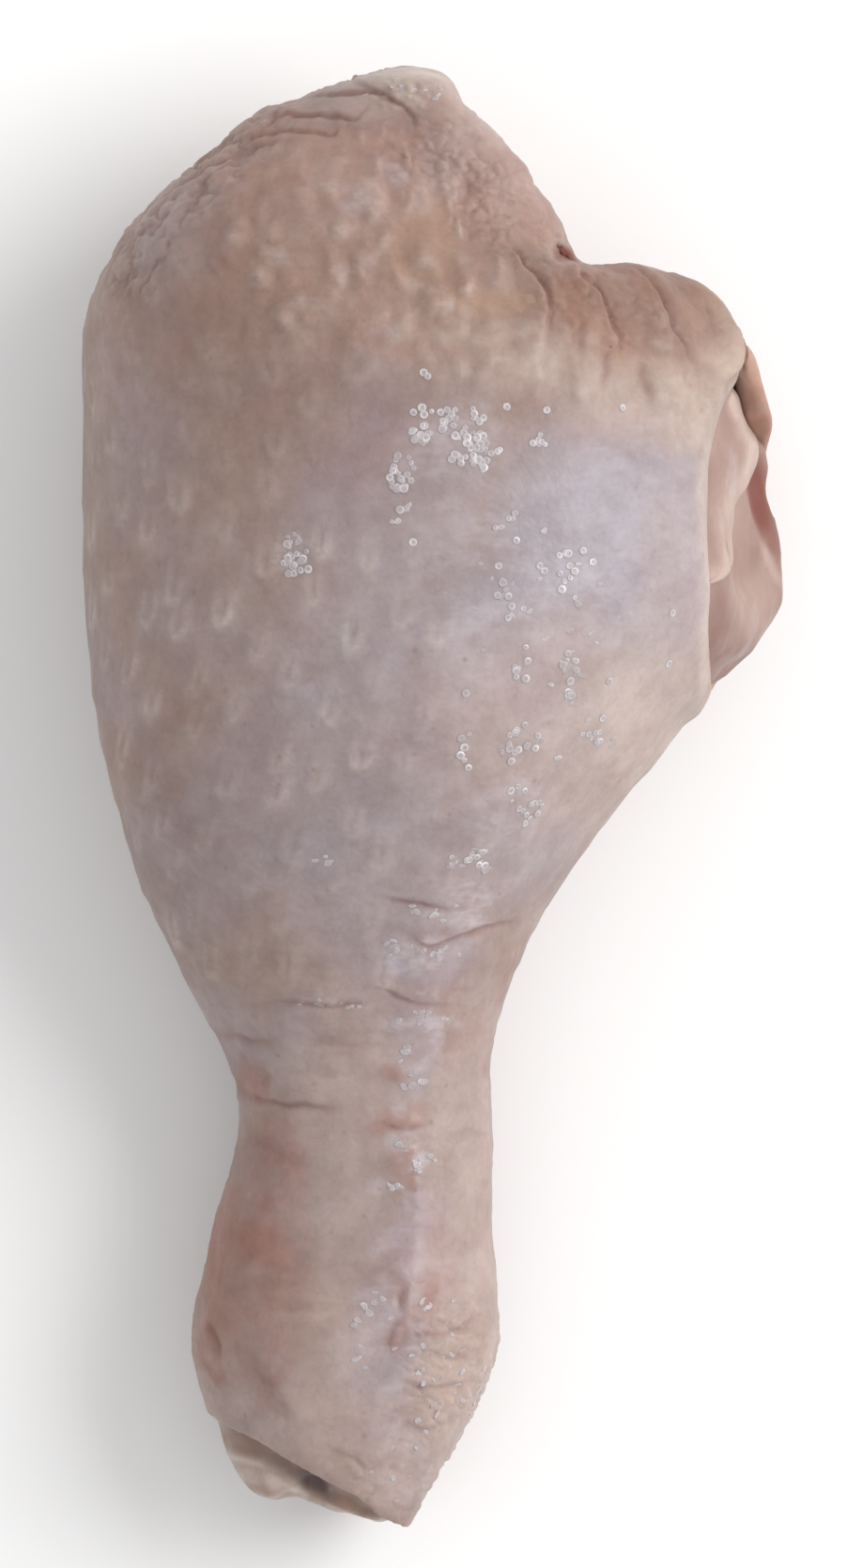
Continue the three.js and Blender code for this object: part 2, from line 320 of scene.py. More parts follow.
def cells(u: Array, v: Array, seed: int, jitter: float = 0.8, stagger: bool = False) -> Cells:
    """Splits a plane into uneven cells.

    Args:
        u: Places across, one square a unit.
        v: Places along.
        seed: Chooses the cells.
        jitter: How far a middle may leave its square's middle.
        stagger: Whether every other column is half a square further along.

    Returns:
        What cell each place is in.
    """
    column = np.floor(u).astype(np.int64)
    near, second = np.full(len(u), 9.0), np.full(len(u), 9.0)
    across, along, chance = np.zeros(len(u)), np.zeros(len(u)), np.zeros(len(u))
    for step in range(-1, 2):
        col = column + step
        shift = 0.5 * (col % 2) if stagger else np.zeros(len(u))
        row = np.floor(v - shift).astype(np.int64)
        for rise in range(-1, 2):
            square = np.stack([col, row + rise], -1)
            off_u = u - (col + 0.5 + jitter * (hashed(square, seed) - 0.5))
            off_v = v - (row + rise + 0.5 + shift + jitter * (hashed(square, seed + 1) - 0.5))
            distance = np.hypot(off_u, off_v)
            closer = distance < near
            second = np.where(closer, near, np.minimum(second, distance))
            across, along = np.where(closer, off_u, across), np.where(closer, off_v, along)
            chance = np.where(closer, hashed(square, seed + 2), chance)
            near = np.where(closer, distance, near)
    return Cells(near, second - near, across, along, chance)


def to_line(pixels: Array, line: Array) -> tuple[Array, Array]:
    """Measures from pixels to a line of pixels.

    Args:
        pixels: Rows of pixels.
        line: The line's points.

    Returns:
        The distance, with a plus on the line's left and a minus on its right as the photo
        shows it, and the share of the line at which its nearest point lies.
    """
    best, along = np.full(len(pixels), 1e9), np.zeros(len(pixels))
    signed = np.full(len(pixels), 1e9)
    lengths = np.hypot(*np.diff(line, axis=0).T)
    total, run = lengths.sum(), 0.0
    for start, end, length in zip(line[:-1], line[1:], lengths):
        way = (end - start) / length
        off = pixels - start
        share = np.clip(off @ way / length, 0.0, 1.0)
        distance = np.hypot(*(off - share[:, None] * length * way).T)
        side = np.where(way[1] * off[:, 0] - way[0] * off[:, 1] >= 0.0, 1.0, -1.0)
        closer = distance < best
        best = np.where(closer, distance, best)
        signed = np.where(closer, side * distance, signed)
        along = np.where(closer, (run + share * length) / total, along)
        run += length
    return signed, along


def smooth_line(path: tuple[Pixel, ...], pieces: int = 4) -> Array:
    """Rounds a line of pixels with a curve through all of them."""
    points = np.array(path, float)
    padded = np.vstack([2 * points[0] - points[1], points, 2 * points[-1] - points[-2]])
    rows = []
    for a, b, c, d in zip(padded, padded[1:], padded[2:], padded[3:]):
        for t in np.arange(pieces) / pieces:
            bend = (2 * a - 5 * b + 4 * c - d) * t * t + (3 * b - a - 3 * c + d) * t**3
            rows.append(0.5 * (2 * b + (c - a) * t + bend))
    rows.append(points[-1])
    return np.array(rows)


def only(piece: bpy.types.Object) -> None:
    """Selects one object alone and makes it the active one."""
    bpy.ops.object.select_all(action="DESELECT")
    piece.select_set(True)
    bpy.context.view_layer.objects.active = piece


def apply_modifier(piece: bpy.types.Object, kind: str, **settings: object) -> None:
    """Adds a modifier to a piece and applies it.

    Args:
        piece: The piece.
        kind: The modifier's type.
        **settings: The modifier's values.
    """
    only(piece)
    modifier = piece.modifiers.new(kind.title(), kind)
    for name, value in settings.items():
        setattr(modifier, name, value)
    bpy.ops.object.modifier_apply(modifier=modifier.name)


def remeshed_copy(node: str, name: str, voxel: float) -> bpy.types.Object:
    """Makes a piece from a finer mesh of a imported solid.

    Args:
        node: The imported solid's name.
        name: The piece's name.
        voxel: The size of the new mesh's faces.

    Returns:
        The new piece, at the origin, with its place in its mesh.
    """
    piece = bpy.data.objects.new(name, bpy.data.objects[node].data.copy())
    piece.data.name = name
    piece.data.materials.clear()
    bpy.context.scene.collection.objects.link(piece)
    only(piece)
    bpy.ops.object.mode_set(mode="EDIT")
    bpy.ops.mesh.select_all(action="SELECT")
    bpy.ops.mesh.remove_doubles(threshold=0.001 * MM)
    bpy.ops.object.mode_set(mode="OBJECT")
    apply_modifier(piece, "REMESH", mode="VOXEL", voxel_size=voxel, use_smooth_shade=True)
    return piece


class Surface:
    """A piece's mesh as arrays, to be sculpted.

    Attributes:
        piece: The piece.
        points: Rows of x, y and z of its vertices.
        normals: Rows of their normals.
    """

    def __init__(self, piece: bpy.types.Object) -> None:
        """Reads the mesh.

        Args:
            piece: The piece to sculpt.
        """
        self.piece = piece
        self.points = np.empty((0, 3))
        self.normals = np.empty((0, 3))
        self._read()

    def _read(self) -> None:
        """Takes the points and their neighbours from the mesh."""
        mesh = self.piece.data
        count = len(mesh.vertices)
        points = np.empty(count * 3, np.float32)
        mesh.vertices.foreach_get("co", points)
        self.points = points.reshape(-1, 3).astype(float)
        ends = np.empty(len(mesh.edges) * 2, np.int32)
        mesh.edges.foreach_get("vertices", ends)
        ends = ends.reshape(-1, 2)
        self._from = np.concatenate([ends[:, 0], ends[:, 1]])
        self._to = np.concatenate([ends[:, 1], ends[:, 0]])
        self._degree = np.maximum(np.bincount(self._from, minlength=count), 1)
        self.write()

    def write(self) -> None:
        """Writes the points back to the mesh and reads the new normals."""
        mesh = self.piece.data
        mesh.vertices.foreach_set("co", self.points.astype(np.float32).ravel())
        mesh.update()
        normals = np.empty(len(self.points) * 3, np.float32)
        mesh.vertices.foreach_get("normal", normals)
        self.normals = normals.reshape(-1, 3).astype(float)

    def neighbours(self, values: Array) -> Array:
        """The mean of each vertex's neighbours, for one column of values or several."""
        if values.ndim == 1:
            sums = np.bincount(self._from, values[self._to], len(values))
            return sums / self._degree
        return np.stack([self.neighbours(column) for column in values.T], -1)

    def blurred(self, values: Array, rounds: int, share: Array | float = 0.5) -> Array:
        """Evens values out over the surface.

        Args:
            values: One column of values, or several.
            rounds: How many times each is drawn to its neighbours' mean.
            share: How far it is drawn each time.

        Returns:
            The evened values.
        """
        if isinstance(share, np.ndarray) and values.ndim == 2:
            share = share[:, None]
        for _ in range(rounds):
            values = values + share * (self.neighbours(values) - values)
        return values

    def sharpness(self, rounds: int = 6) -> Array:
        """How much the surface turns within a few faces, from 0 where it is flat."""
        return 1.0 - np.linalg.norm(self.blurred(self.normals, rounds), axis=1)

    def nudge(self) -> None:
        """Brings the outline to where the photo has it."""
        shift = np.zeros((len(self.points), 2))
        pixels = self.pixels()
        for nudge in NUDGES:
            shift += nudge.patch.mask(pixels)[:, None] * np.array(nudge.shift)
        self.points[:, :2] += shift * np.array([1.0, -1.0]) * PHOTO.pitch()
        self.write()

    def push(self, heights: Array) -> None:
        """Moves each point along its normal and keeps it above the table."""
        self.points = self.points + self.normals * heights[:, None]
        self.points[:, 2] = np.maximum(self.points[:, 2], 0.0)
        self.write()

    def pixels(self) -> Array:
        """The photo's pixel over each point."""
        return PHOTO.pixels(self.points)

    def store(self, name: str, values: Array) -> None:
        """Keeps values on the mesh for its material to read.

        Args:
            name: The attribute's name.
            values: One column, or three for a vector.
        """
        kind, key = ("FLOAT", "value") if values.ndim == 1 else ("FLOAT_VECTOR", "vector")
        attribute = self.piece.data.attributes.new(name, kind, "POINT")
        attribute.data.foreach_set(key, values.astype(np.float32).ravel())

    def refine(self, chosen: Array) -> None:
        """Halves the faces round the chosen vertices, for fine relief.

        Args:
            chosen: Which vertices need finer faces.
        """
        only(self.piece)
        bpy.ops.object.mode_set(mode="EDIT")
        bpy.ops.mesh.select_mode(type="VERT")
        bpy.ops.mesh.select_all(action="DESELECT")
        bpy.ops.object.mode_set(mode="OBJECT")
        self.piece.data.vertices.foreach_set("select", chosen)
        bpy.ops.object.mode_set(mode="EDIT")
        bpy.ops.mesh.select_mode(type="FACE")
        bpy.ops.mesh.subdivide(number_cuts=1, ngon=False)
        bpy.ops.object.mode_set(mode="OBJECT")
        self._read()
        self.points = self.blurred(self.points, 2)
        self.write()

    def thin_out(self, weights: Array, triangles: int) -> None:
        """Joins faces, most of all where a surface doesn't show.

        Args:
            weights: From nearly 0 where faces should stay to 1 where they may be joined.
            triangles: How many triangles are left.
        """
        group = self.piece.vertex_groups.new(name="hidden")
        levels = np.ceil(weights * 10.0) / 10.0
        for level in np.unique(levels[levels > 0.0]):
            group.add(np.flatnonzero(levels == level).tolist(), float(level), "REPLACE")
        before = sum(len(face.vertices) - 2 for face in self.piece.data.polygons)
        apply_modifier(
            self.piece, "DECIMATE", ratio=min(triangles / before, 1.0), vertex_group=group.name,
            vertex_group_factor=1e-5,
        )
        self.piece.vertex_groups.clear()


def distance_to_node(points: Array, node: str, limit: float) -> tuple[Array, Array]:
    """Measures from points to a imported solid.

    Args:
        points: Rows of x, y and z.
        node: The solid's name.
        limit: Distances beyond this one aren't measured.

    Returns:
        The distance, or the limit, and the unit vector to the nearest place.
    """
    mesh = bpy.data.objects[node].data
    tree = BVHTree.FromPolygons(
        [vertex.co for vertex in mesh.vertices], [face.vertices[:] for face in mesh.polygons]
    )
    distances, ways = np.full(len(points), limit), np.zeros((len(points), 3))
    for index, point in enumerate(points):
        place, _, _, distance = tree.find_nearest(Vector(point), limit)
        if place is not None and distance > 0.0:
            distances[index] = distance
            ways[index] = (np.array(place) - point) / distance
    return distances, ways


def srgb(red: float, green: float, blue: float) -> Rgb:
    """Turns a colour given in 0 to 255 into the linear values that a shader takes."""
    return tuple(
        (v / 255 / 12.92) if v / 255 <= 0.04045 else ((v / 255 + 0.055) / 1.055) ** 2.4
        for v in (red, green, blue)
    )


class NodeTree:
    """Adds nodes to a material or a node group and links them.

    Attributes:
        tree: The tree that is being filled.
    """

    def __init__(self, tree: bpy.types.NodeTree) -> None:
        """Empties a tree to fill it anew."""
        self.tree = tree
        tree.nodes.clear()

    def add(self, kind: str, sockets: dict[str | int, object] | None = None, **settings: object):
        """Adds a node.

        Args:
            kind: The node's type, without its ShaderNode prefix.
            sockets: Values for its inputs, or sockets to link to them.
            **settings: Its other settings.

        Returns:
            The node.
        """
        prefix = "" if kind.startswith("NodeGroup") else "ShaderNode"
        node = self.tree.nodes.new(prefix + kind)
        for name, value in settings.items():
            setattr(node, name, value)
        for name, value in (sockets or {}).items():
            self.feed(node.inputs[name], value)
        return node

    def feed(self, socket: bpy.types.NodeSocket, value: object) -> None:
        """Links a socket to an input, or sets the input's value."""
        if isinstance(value, bpy.types.NodeSocket):
            self.tree.links.new(value, socket)
        elif isinstance(value, tuple) and len(value) == 3 and socket.type == "RGBA":
            socket.default_value = (*value, 1.0)
        else:
            socket.default_value = value

    def math(self, operation: str, first: object, second: object = 0.0, third: object = 0.0):
        """One operation on numbers, and its result."""
        node = self.add("Math", operation=operation)
        for socket, value in zip(node.inputs, (first, second, third)):
            self.feed(socket, value)
        return node.outputs[0]

    def times(self, first: object, second: object):
        """The product of two numbers."""
        return self.math("MULTIPLY", first, second)

    def fit(self, value: object, low: float, high: float, to_low: float = 0.0, to_high: float = 1.0):
        """Maps a number from one range to another, softly, and keeps it inside."""
        sockets = {0: value, 1: low, 2: high, 3: to_low, 4: to_high}
        return self.add("MapRange", sockets, interpolation_type="SMOOTHSTEP").outputs[0]

    def attribute(self, name: str):
        """The numbers that the mesh keeps under a name."""
        return self.add("Attribute", attribute_name=name, attribute_type="GEOMETRY").outputs["Fac"]

    def lay(self, below: object, above: object, share: object, blend: Blend = Blend.MIX):
        """Lays one colour over another.

        Args:
            below: The colour below.
            above: The colour above.
            share: How much of it shows.
            blend: How the two are mixed.

        Returns:
            The mixed colour.
        """
        node = self.add("Mix", data_type="RGBA", blend_type=blend.value, clamp_result=True)
        for index, value in ((0, share), (6, below), (7, above)):
            self.feed(node.inputs[index], value)
        return node.outputs[2]


def moist_grain() -> bpy.types.NodeTree:
    """The fine wrinkling and speckling that all the leg's wet surfaces share.

    Returns:
        The node group, with the height of the grain, a soft mottling and small dark specks.
    """
    found = bpy.data.node_groups.get("moist_grain")
    if found is not None:
        return found
    group = bpy.data.node_groups.new("moist_grain", "ShaderNodeTree")
    for name, value in (("Scale", 1.0), ("Stretch", 1.0)):
        group.interface.new_socket(name, in_out="INPUT", socket_type="NodeSocketFloat").default_value = value
    for name in ("Height", "Mottle", "Specks"):
        group.interface.new_socket(name, in_out="OUTPUT", socket_type="NodeSocketFloat")
    nodes = NodeTree(group)
    given = nodes.add("NodeGroupInput")
    place = nodes.add("TexCoord").outputs["Object"]
    along = nodes.math("DIVIDE", given.outputs["Scale"], given.outputs["Stretch"])
    scale = nodes.add("CombineXYZ", {0: given.outputs["Scale"], 1: along, 2: given.outputs["Scale"]})
    spread = nodes.add("VectorMath", {0: place, 1: scale.outputs[0]}, operation="MULTIPLY").outputs[0]
    fine = nodes.add("TexNoise", {"Vector": spread, "Scale": 2100.0, "Detail": 3.0, "Roughness": 0.65})
    coarse = nodes.add("TexNoise", {"Vector": spread, "Scale": 700.0, "Detail": 2.0, "Distortion": 0.6})
    folds = nodes.add("TexVoronoi", {"Vector": spread, "Scale": 1000.0}, feature="DISTANCE_TO_EDGE")
    creased = nodes.fit(folds.outputs["Distance"], 0.0, 0.35)
    height = nodes.math("MULTIPLY_ADD", fine.outputs[0], 0.35, nodes.times(coarse.outputs[0], 0.65))
    height = nodes.math("MULTIPLY_ADD", creased, 0.09, height)
    mottle = nodes.add("TexNoise", {"Vector": spread, "Scale": 210.0, "Detail": 4.0, "Roughness": 0.62})
    dots = nodes.add("TexVoronoi", {"Vector": spread, "Scale": 620.0, "Randomness": 1.0})
    chosen = nodes.fit(nodes.add("SeparateColor", {0: dots.outputs["Color"]}).outputs[0], 0.5, 0.95)
    specks = nodes.times(nodes.fit(dots.outputs["Distance"], 0.24, 0.06), chosen)
    out = nodes.add("NodeGroupOutput")
    for name, value in (("Height", height), ("Mottle", mottle.outputs[0]), ("Specks", specks)):
        nodes.feed(out.inputs[name], value)
    return group


class Finish:
    """A wet, slightly see-through material; each kind of tissue colours it in its own way."""

    name = "tissue"
    slot = "skin"
    roughness = 0.46
    glow = 0.25
    glow_scale = 1.6 * MM
    coat = 0.16
    coat_roughness = 0.24
    bump = 0.09 * MM
    grain_scale = 1.0
    grain_stretch = 1.0

    def colour(self, nodes: NodeTree, grain: bpy.types.Node) -> object:
        """The colour over the surface, as a socket."""
        raise NotImplementedError

    def wetness(self, nodes: NodeTree, grain: bpy.types.Node) -> object:
        """How wet each place is, from 0 to 1, as a socket or a number."""
        return nodes.fit(grain.outputs["Mottle"], 0.42, 0.66)

    def relief(self, nodes: NodeTree, grain: bpy.types.Node) -> object:
        """The height of the finest relief, from about 0 to 1, as a socket."""
        return grain.outputs["Height"]

    def material(self) -> bpy.types.Material:
        """Builds the material.

        Returns:
            The material, all of nodes.
        """
        material = bpy.data.materials.new(self.name)
        material.use_nodes = True
        nodes = NodeTree(material.node_tree)
        grain = nodes.add("Group", node_tree=moist_grain())
        grain.inputs["Scale"].default_value = self.grain_scale
        grain.inputs["Stretch"].default_value = self.grain_stretch
        shader = nodes.add("BsdfPrincipled")
        out = nodes.add("OutputMaterial")
        nodes.feed(out.inputs["Surface"], shader.outputs[0])
        nodes.feed(shader.inputs["Base Color"], self.colour(nodes, grain))
        wet = self.wetness(nodes, grain)
        nodes.feed(shader.inputs["Roughness"], nodes.fit(wet, 0.0, 1.0, self.roughness + 0.12, self.roughness - 0.12))
        nodes.feed(shader.inputs["Coat Weight"], nodes.fit(wet, 0.0, 1.0, 0.4 * self.coat, self.coat))
        shader.inputs["Coat Roughness"].default_value = self.coat_roughness
        shader.inputs["IOR"].default_value = 1.38
        shader.inputs["Subsurface Weight"].default_value = self.glow
        shader.inputs["Subsurface Radius"].default_value = (1.0, 0.45, 0.3)
        shader.inputs["Subsurface Scale"].default_value = self.glow_scale
        bump = nodes.add("Bump", {"Height": self.relief(nodes, grain), "Strength": 1.0, "Distance": self.bump})
        nodes.feed(shader.inputs["Normal"], bump.outputs[0])
        return material

    def dress(self, piece: bpy.types.Object) -> None:
        """Gives a piece this finish."""
        piece.data.materials.append(self.material())


@dataclass(frozen=True)
class SkinFinish(Finish):
    """Raw skin: mauve flesh and cream fat seen through it, pale over goosebumps, with painted sheen, highlights and
    shade laid over it.

    Attributes:
        flesh: Over dark meat.
        lilac_and_sheen: Where the skin is thick and bluish; on the right belly and along the tendon it also stands in
            as painted sheen.
        fat: Over a layer of fat.
        cream: Thick fat and cut rims.
        flush: Blood close under the skin; over the lobe it also darkens as painted shade.
        amber: Yellow-brown stains.
        pale: The tops and lower ends of bumps: paler skin with painted highlight.
        groove: Painted shade at the bottoms of creases and grooves; the same brown also darkens the goosebumps' slits
            and the small specks.
        film_and_sheen: Painted sheen: whitish glints and streaks of reflected light on the wet skin, and a little
            whitish fascia by the knee.
        raw: The flesh side of the skin that shows in the cut.
        blood: Dark red flesh deep in the notch.
        dim: Painted shade that darkens all of these on the lobe, the knee, the belly, the ankle and the cut.
        shade: What the darker mottles do to them.
        light: What the lighter mottles do to them.
    """

    name: str = "raw_skin"
    slot: str = "skin"
    flesh: Rgb = srgb(160, 138, 127)
    lilac_and_sheen: Rgb = srgb(167, 160, 169)
    fat: Rgb = srgb(188, 168, 159)
    cream: Rgb = srgb(207, 193, 181)
    flush: Rgb = srgb(158, 115, 102)
    amber: Rgb = srgb(178, 146, 122)
    pale: Rgb = srgb(202, 190, 183)
    groove: Rgb = srgb(134, 98, 88)
    film_and_sheen: Rgb = srgb(206, 198, 206)
    raw: Rgb = srgb(182, 144, 128)
    blood: Rgb = srgb(116, 66, 54)
    dim: Rgb = (0.7, 0.69, 0.695)
    shade: Rgb = (0.815, 0.785, 0.78)
    light: Rgb = (0.965, 0.96, 0.96)

    def colour(self, nodes: NodeTree, grain: bpy.types.Node) -> object:
        """Lays the tissues' colours, and the painted sheen, highlights and shade, over each other where the mesh says
        they are.
        """
        place = nodes.add("TexCoord").outputs["Object"]
        wide = nodes.add("TexNoise", {"Vector": place, "Scale": 75.0, "Detail": 3.0, "Roughness": 0.55})
        veins = nodes.add("TexNoise", {"Vector": place, "Scale": 130.0, "Detail": 2.0, "Distortion": 1.2})
        tone = nodes.lay(self.flesh, self.lilac_and_sheen, nodes.fit(wide.outputs[0], 0.38, 0.66, 0.08, 0.4))
        # bluish skin, and painted sheen on the right belly and along the tendon
        tone = nodes.lay(tone, self.lilac_and_sheen, nodes.attribute("lilac_and_sheen"))
        tone = nodes.lay(tone, self.fat, nodes.attribute("fat"))
        tone = nodes.lay(tone, self.cream, nodes.attribute("cream"))
        patchy = nodes.times(nodes.attribute("flush"), nodes.fit(veins.outputs[0], 0.38, 0.62, 0.55, 1.0))
        tone = nodes.lay(tone, self.flush, patchy)
        tone = nodes.lay(tone, self.amber, nodes.attribute("amber"))
        flat = nodes.add("VectorMath", {0: place, 1: (1.0, 1.9, 1.0)}, operation="MULTIPLY").outputs[0]
        streaks = nodes.add("TexNoise", {"Vector": flat, "Scale": 330.0, "Detail": 4.0, "Roughness": 0.6})
        # painted sheen: pale bluish glints and streaks of reflected light, and the fascia patches
        sheen_streaks = nodes.times(nodes.attribute("film_and_sheen"), nodes.fit(streaks.outputs[0], 0.4, 0.62, 0.25, 1.0))
        tone = nodes.lay(tone, self.film_and_sheen, nodes.times(sheen_streaks, 0.6))
        # pale bumps with painted highlight
        pale_and_highlight = nodes.times(nodes.attribute("pale"), nodes.fit(streaks.outputs[0], 0.36, 0.6, 0.35, 1.0))
        tone = nodes.lay(tone, self.pale, nodes.times(pale_and_highlight, 0.68))
        tone = nodes.lay(tone, self.raw, nodes.attribute("raw"))
        # painted shade in creases, grooves and between lumps
        tone = nodes.lay(tone, self.groove, nodes.times(nodes.attribute("groove"), 0.75))
        tone = nodes.lay(tone, self.groove, nodes.times(self.slit(nodes), 0.08))
        mottle = nodes.fit(grain.outputs["Mottle"], 0.3, 0.7, 0.0, 1.0)
        tone = nodes.lay(tone, nodes.lay(self.shade, self.light, mottle), 1.0, Blend.MULTIPLY)
        fine = nodes.lay((0.9, 0.885, 0.88), (1.0, 1.0, 1.0), nodes.fit(grain.outputs["Height"], 0.3, 0.7))
        tone = nodes.lay(tone, fine, 1.0, Blend.MULTIPLY)
        # painted shade
        tone = nodes.lay(tone, self.dim, nodes.attribute("dim"), Blend.MULTIPLY)
        tone = nodes.lay(tone, self.blood, nodes.attribute("blood"))
        return nodes.lay(tone, self.groove, nodes.times(grain.outputs["Specks"], 0.34))

    def slit(self, nodes: NodeTree) -> object:
        """The dark slit in the middle of each goosebump, from 0 to 1."""
        pore = nodes.add("Attribute", attribute_name="pore", attribute_type="GEOMETRY")
        across, along, strength = nodes.add("SeparateXYZ", {0: pore.outputs["Vector"]}).outputs
        narrow = nodes.fit(nodes.math("ABSOLUTE", across), 0.42, 0.05)
        long = nodes.fit(nodes.math("ABSOLUTE", nodes.math("SUBTRACT", along, 0.5)), 1.5, 0.5)
        return nodes.times(nodes.times(narrow, long), strength)

    def wetness(self, nodes: NodeTree, grain: bpy.types.Node) -> object:
        """Wet in named places, and in spots anywhere."""
        spots = nodes.fit(grain.outputs["Mottle"], 0.5, 0.7, 0.0, 0.5)
        return nodes.math("MAXIMUM", nodes.attribute("wet"), spots)

    def relief(self, nodes: NodeTree, grain: bpy.types.Node) -> object:
        """Fine wrinkles with the slits sunk in them."""
        return nodes.math("SUBTRACT", grain.outputs["Height"], nodes.times(self.slit(nodes), 0.18))


@dataclass
class Skin:
    """The sleeve of skin, from the hood at the knee to its cut edge at the hock.

    Attributes:
        voxel: The size of the sculpted mesh's faces.
        even_rounds: How often the solid's facets are evened out.
        unevenness: The height of the soft swellings all over.
        goosebump: The height of a goosebump over the belly.
        bump_pitch: The goosebumps' distance across and along, in pixels.
        lump: The height of the crowded lumps by the knee.
        lump_pitch: Their distance across and along, in pixels.
        lump_lean: How far they lean to the right, in degrees.
        triangles: How many triangles it has at most.
    """

    voxel: float = 0.5 * MM
    even_rounds: int = 70
    unevenness: float = 0.3 * MM
    goosebump: float = 0.2 * MM
    bump_pitch: Pixel = (55.0, 72.0)
    lump: float = 0.5 * MM
    lump_pitch: Pixel = (30.0, 42.0)
    lump_lean: float = 12.0
    triangles: int = 190_000
    finish: SkinFinish = field(default_factory=SkinFinish)

    # Each crease's tint and shade are painted shade in its groove and below its step.
    creases: tuple[Crease, ...] = (
        Crease(((284, 143), (297, 127), (327, 127), (363, 129), (378, 131), (388, 123), (400, 109)),
               0.2 * MM, 2.6, 0.2 * MM, Side.LEFT, 14.0, 0.9),
        Crease(((318, 108), (340, 105), (358, 103), (383, 102), (404, 103), (419, 111), (432, 120),
                (441, 130), (443, 144), (451, 154)), 0.2 * MM, 2.8, 0.22 * MM, Side.LEFT, 18.0, 0.95),
        Crease(((446, 146), (465, 172), (485, 182), (498, 198), (508, 216), (520, 236), (540, 262)),
               0.06 * MM, 3.5, 0.14 * MM, Side.LEFT, 22.0, 0.15, ragged=2.5),
        Crease(((250, 162), (286, 149), (307, 145), (330, 147), (353, 149), (368, 139), (388, 130)),
               0.15 * MM, 2.6, 0.15 * MM, Side.LEFT, 12.0, 0.7),
        Crease(((284, 140), (293, 128), (300, 110)), 0.25 * MM, 4.0, 0.19 * MM, Side.RIGHT, 12.0, 1.0),
        Crease(((370, 83), (388, 97), (408, 104)), 0.15 * MM, 3.5, 0.12 * MM, Side.LEFT, 14.0, 0.7),
        Crease(((240, 176), (262, 166), (290, 160), (320, 158)), 0.15 * MM, 3.5, 0.12 * MM, Side.LEFT, 12.0, 0.6),
        Crease(((532, 256), (548, 274), (562, 290), (571, 304), (578, 325), (580, 350), (580, 378)),
               0.3 * MM, 3.6, 0.55 * MM, Side.RIGHT, 30.0, 0.65, 0.5, 2.0),
        Crease(((606, 286), (618, 300), (633, 322), (648, 345), (655, 366), (657, 392)),
               0.32 * MM, 3.6, 0.65 * MM, Side.RIGHT, 30.0, 0.65, 0.65, 2.2),
        Crease(((674, 282), (686, 300), (699, 325), (713, 352), (724, 378), (736, 402)),
               0.28 * MM, 3.6, 0.5 * MM, Side.RIGHT, 28.0, 0.65, 0.5, 1.8),
        Crease(((586, 284), (594, 276), (600, 268)), 0.3 * MM, 5.0, tint=1.2),
        Crease(((598, 268), (604, 278), (611, 284)), 0.2 * MM, 4.5, tint=1.0),
        Crease(((742, 318), (752, 342), (760, 366)), 0.1 * MM, 3.5, 0.12 * MM, Side.RIGHT, 14.0, 0.5),
        Crease(((678, 388), (683, 410), (690, 436)), 0.12 * MM, 5.0, 0.09 * MM, Side.RIGHT, 18.0, 0.8),
        Crease(((640, 380), (641, 402), (636, 424)), 0.15 * MM, 4.0, tint=0.7),
        Crease(((612, 330), (616, 360), (612, 392)), 0.15 * MM, 4.0, tint=0.5),
        Crease(((782, 338), (789, 362), (791, 388), (778, 408), (764, 424)), 0.43 * MM, 4.0, 0.43 * MM, Side.RIGHT, 16.0),
        Crease(((246, 1144), (259, 1162), (277, 1172), (300, 1175), (323, 1177), (366, 1181)),
               0.2 * MM, 4.0, 0.2 * MM, Side.LEFT, 24.0, 0.75),
        Crease(((404, 953), (430, 957), (455, 961), (484, 972)), 0.14 * MM, 3.5, 0.15 * MM, Side.LEFT, 16.0, 0.7),
        Crease(((424, 986), (445, 1001), (460, 1004), (481, 997), (506, 991), (560, 978)),
               0.17 * MM, 3.5, 0.22 * MM, Side.LEFT, 18.0, 0.8),
        Crease(((296, 1063), (330, 1068), (358, 1069), (390, 1066)), 0.14 * MM, 3.0, 0.15 * MM, Side.LEFT, 16.0, 0.7),
        Crease(((390, 1048), (414, 1055), (430, 1063), (484, 1068)), 0.12 * MM, 3.0, 0.15 * MM, Side.LEFT, 16.0, 0.6),
        Crease(((222, 1098), (249, 1103), (267, 1108), (300, 1112)), 0.14 * MM, 4.0, 0.12 * MM, Side.LEFT, 16.0, 0.6),
        Crease(((256, 1208), (290, 1225), (326, 1238)), 0.12 * MM, 7.0, tint=0.5),
        Crease(((396, 1193), (430, 1201), (462, 1194)), 0.12 * MM, 3.5, 0.12 * MM, Side.LEFT, 14.0, 0.6),
        Crease(((432, 1366), (424, 1384), (428, 1396)), 0.25 * MM, 5.0, 0.19 * MM, Side.LEFT, 12.0, 0.8),
        Crease(((428, 1398), (417, 1416), (410, 1440)), 0.15 * MM, 4.0, 0.12 * MM, Side.LEFT, 14.0, 0.6),
        Crease(((220, 1404), (232, 1428), (236, 1448)), 0.19 * MM, 4.0, 0.22 * MM, Side.RIGHT, 14.0, 0.9),
        Crease(((262, 1426), (282, 1468), (302, 1502), (316, 1530)), 0.18 * MM, 7.0, tint=0.5),
        Crease(((344, 1537), (372, 1551), (402, 1566)), 0.07 * MM, 3.5, 0.07 * MM, Side.LEFT, 14.0, 0.4),
        Crease(((430, 1412), (470, 1420), (515, 1395)), 0.09 * MM, 3.5, 0.09 * MM, Side.LEFT, 12.0, 0.5),
        Crease(((420, 1462), (462, 1478), (512, 1462)), 0.09 * MM, 3.5, 0.09 * MM, Side.LEFT, 12.0, 0.5),
        Crease(((416, 1500), (450, 1520), (490, 1508)), 0.07 * MM, 3.5, 0.07 * MM, Side.LEFT, 12.0, 0.4),
    )

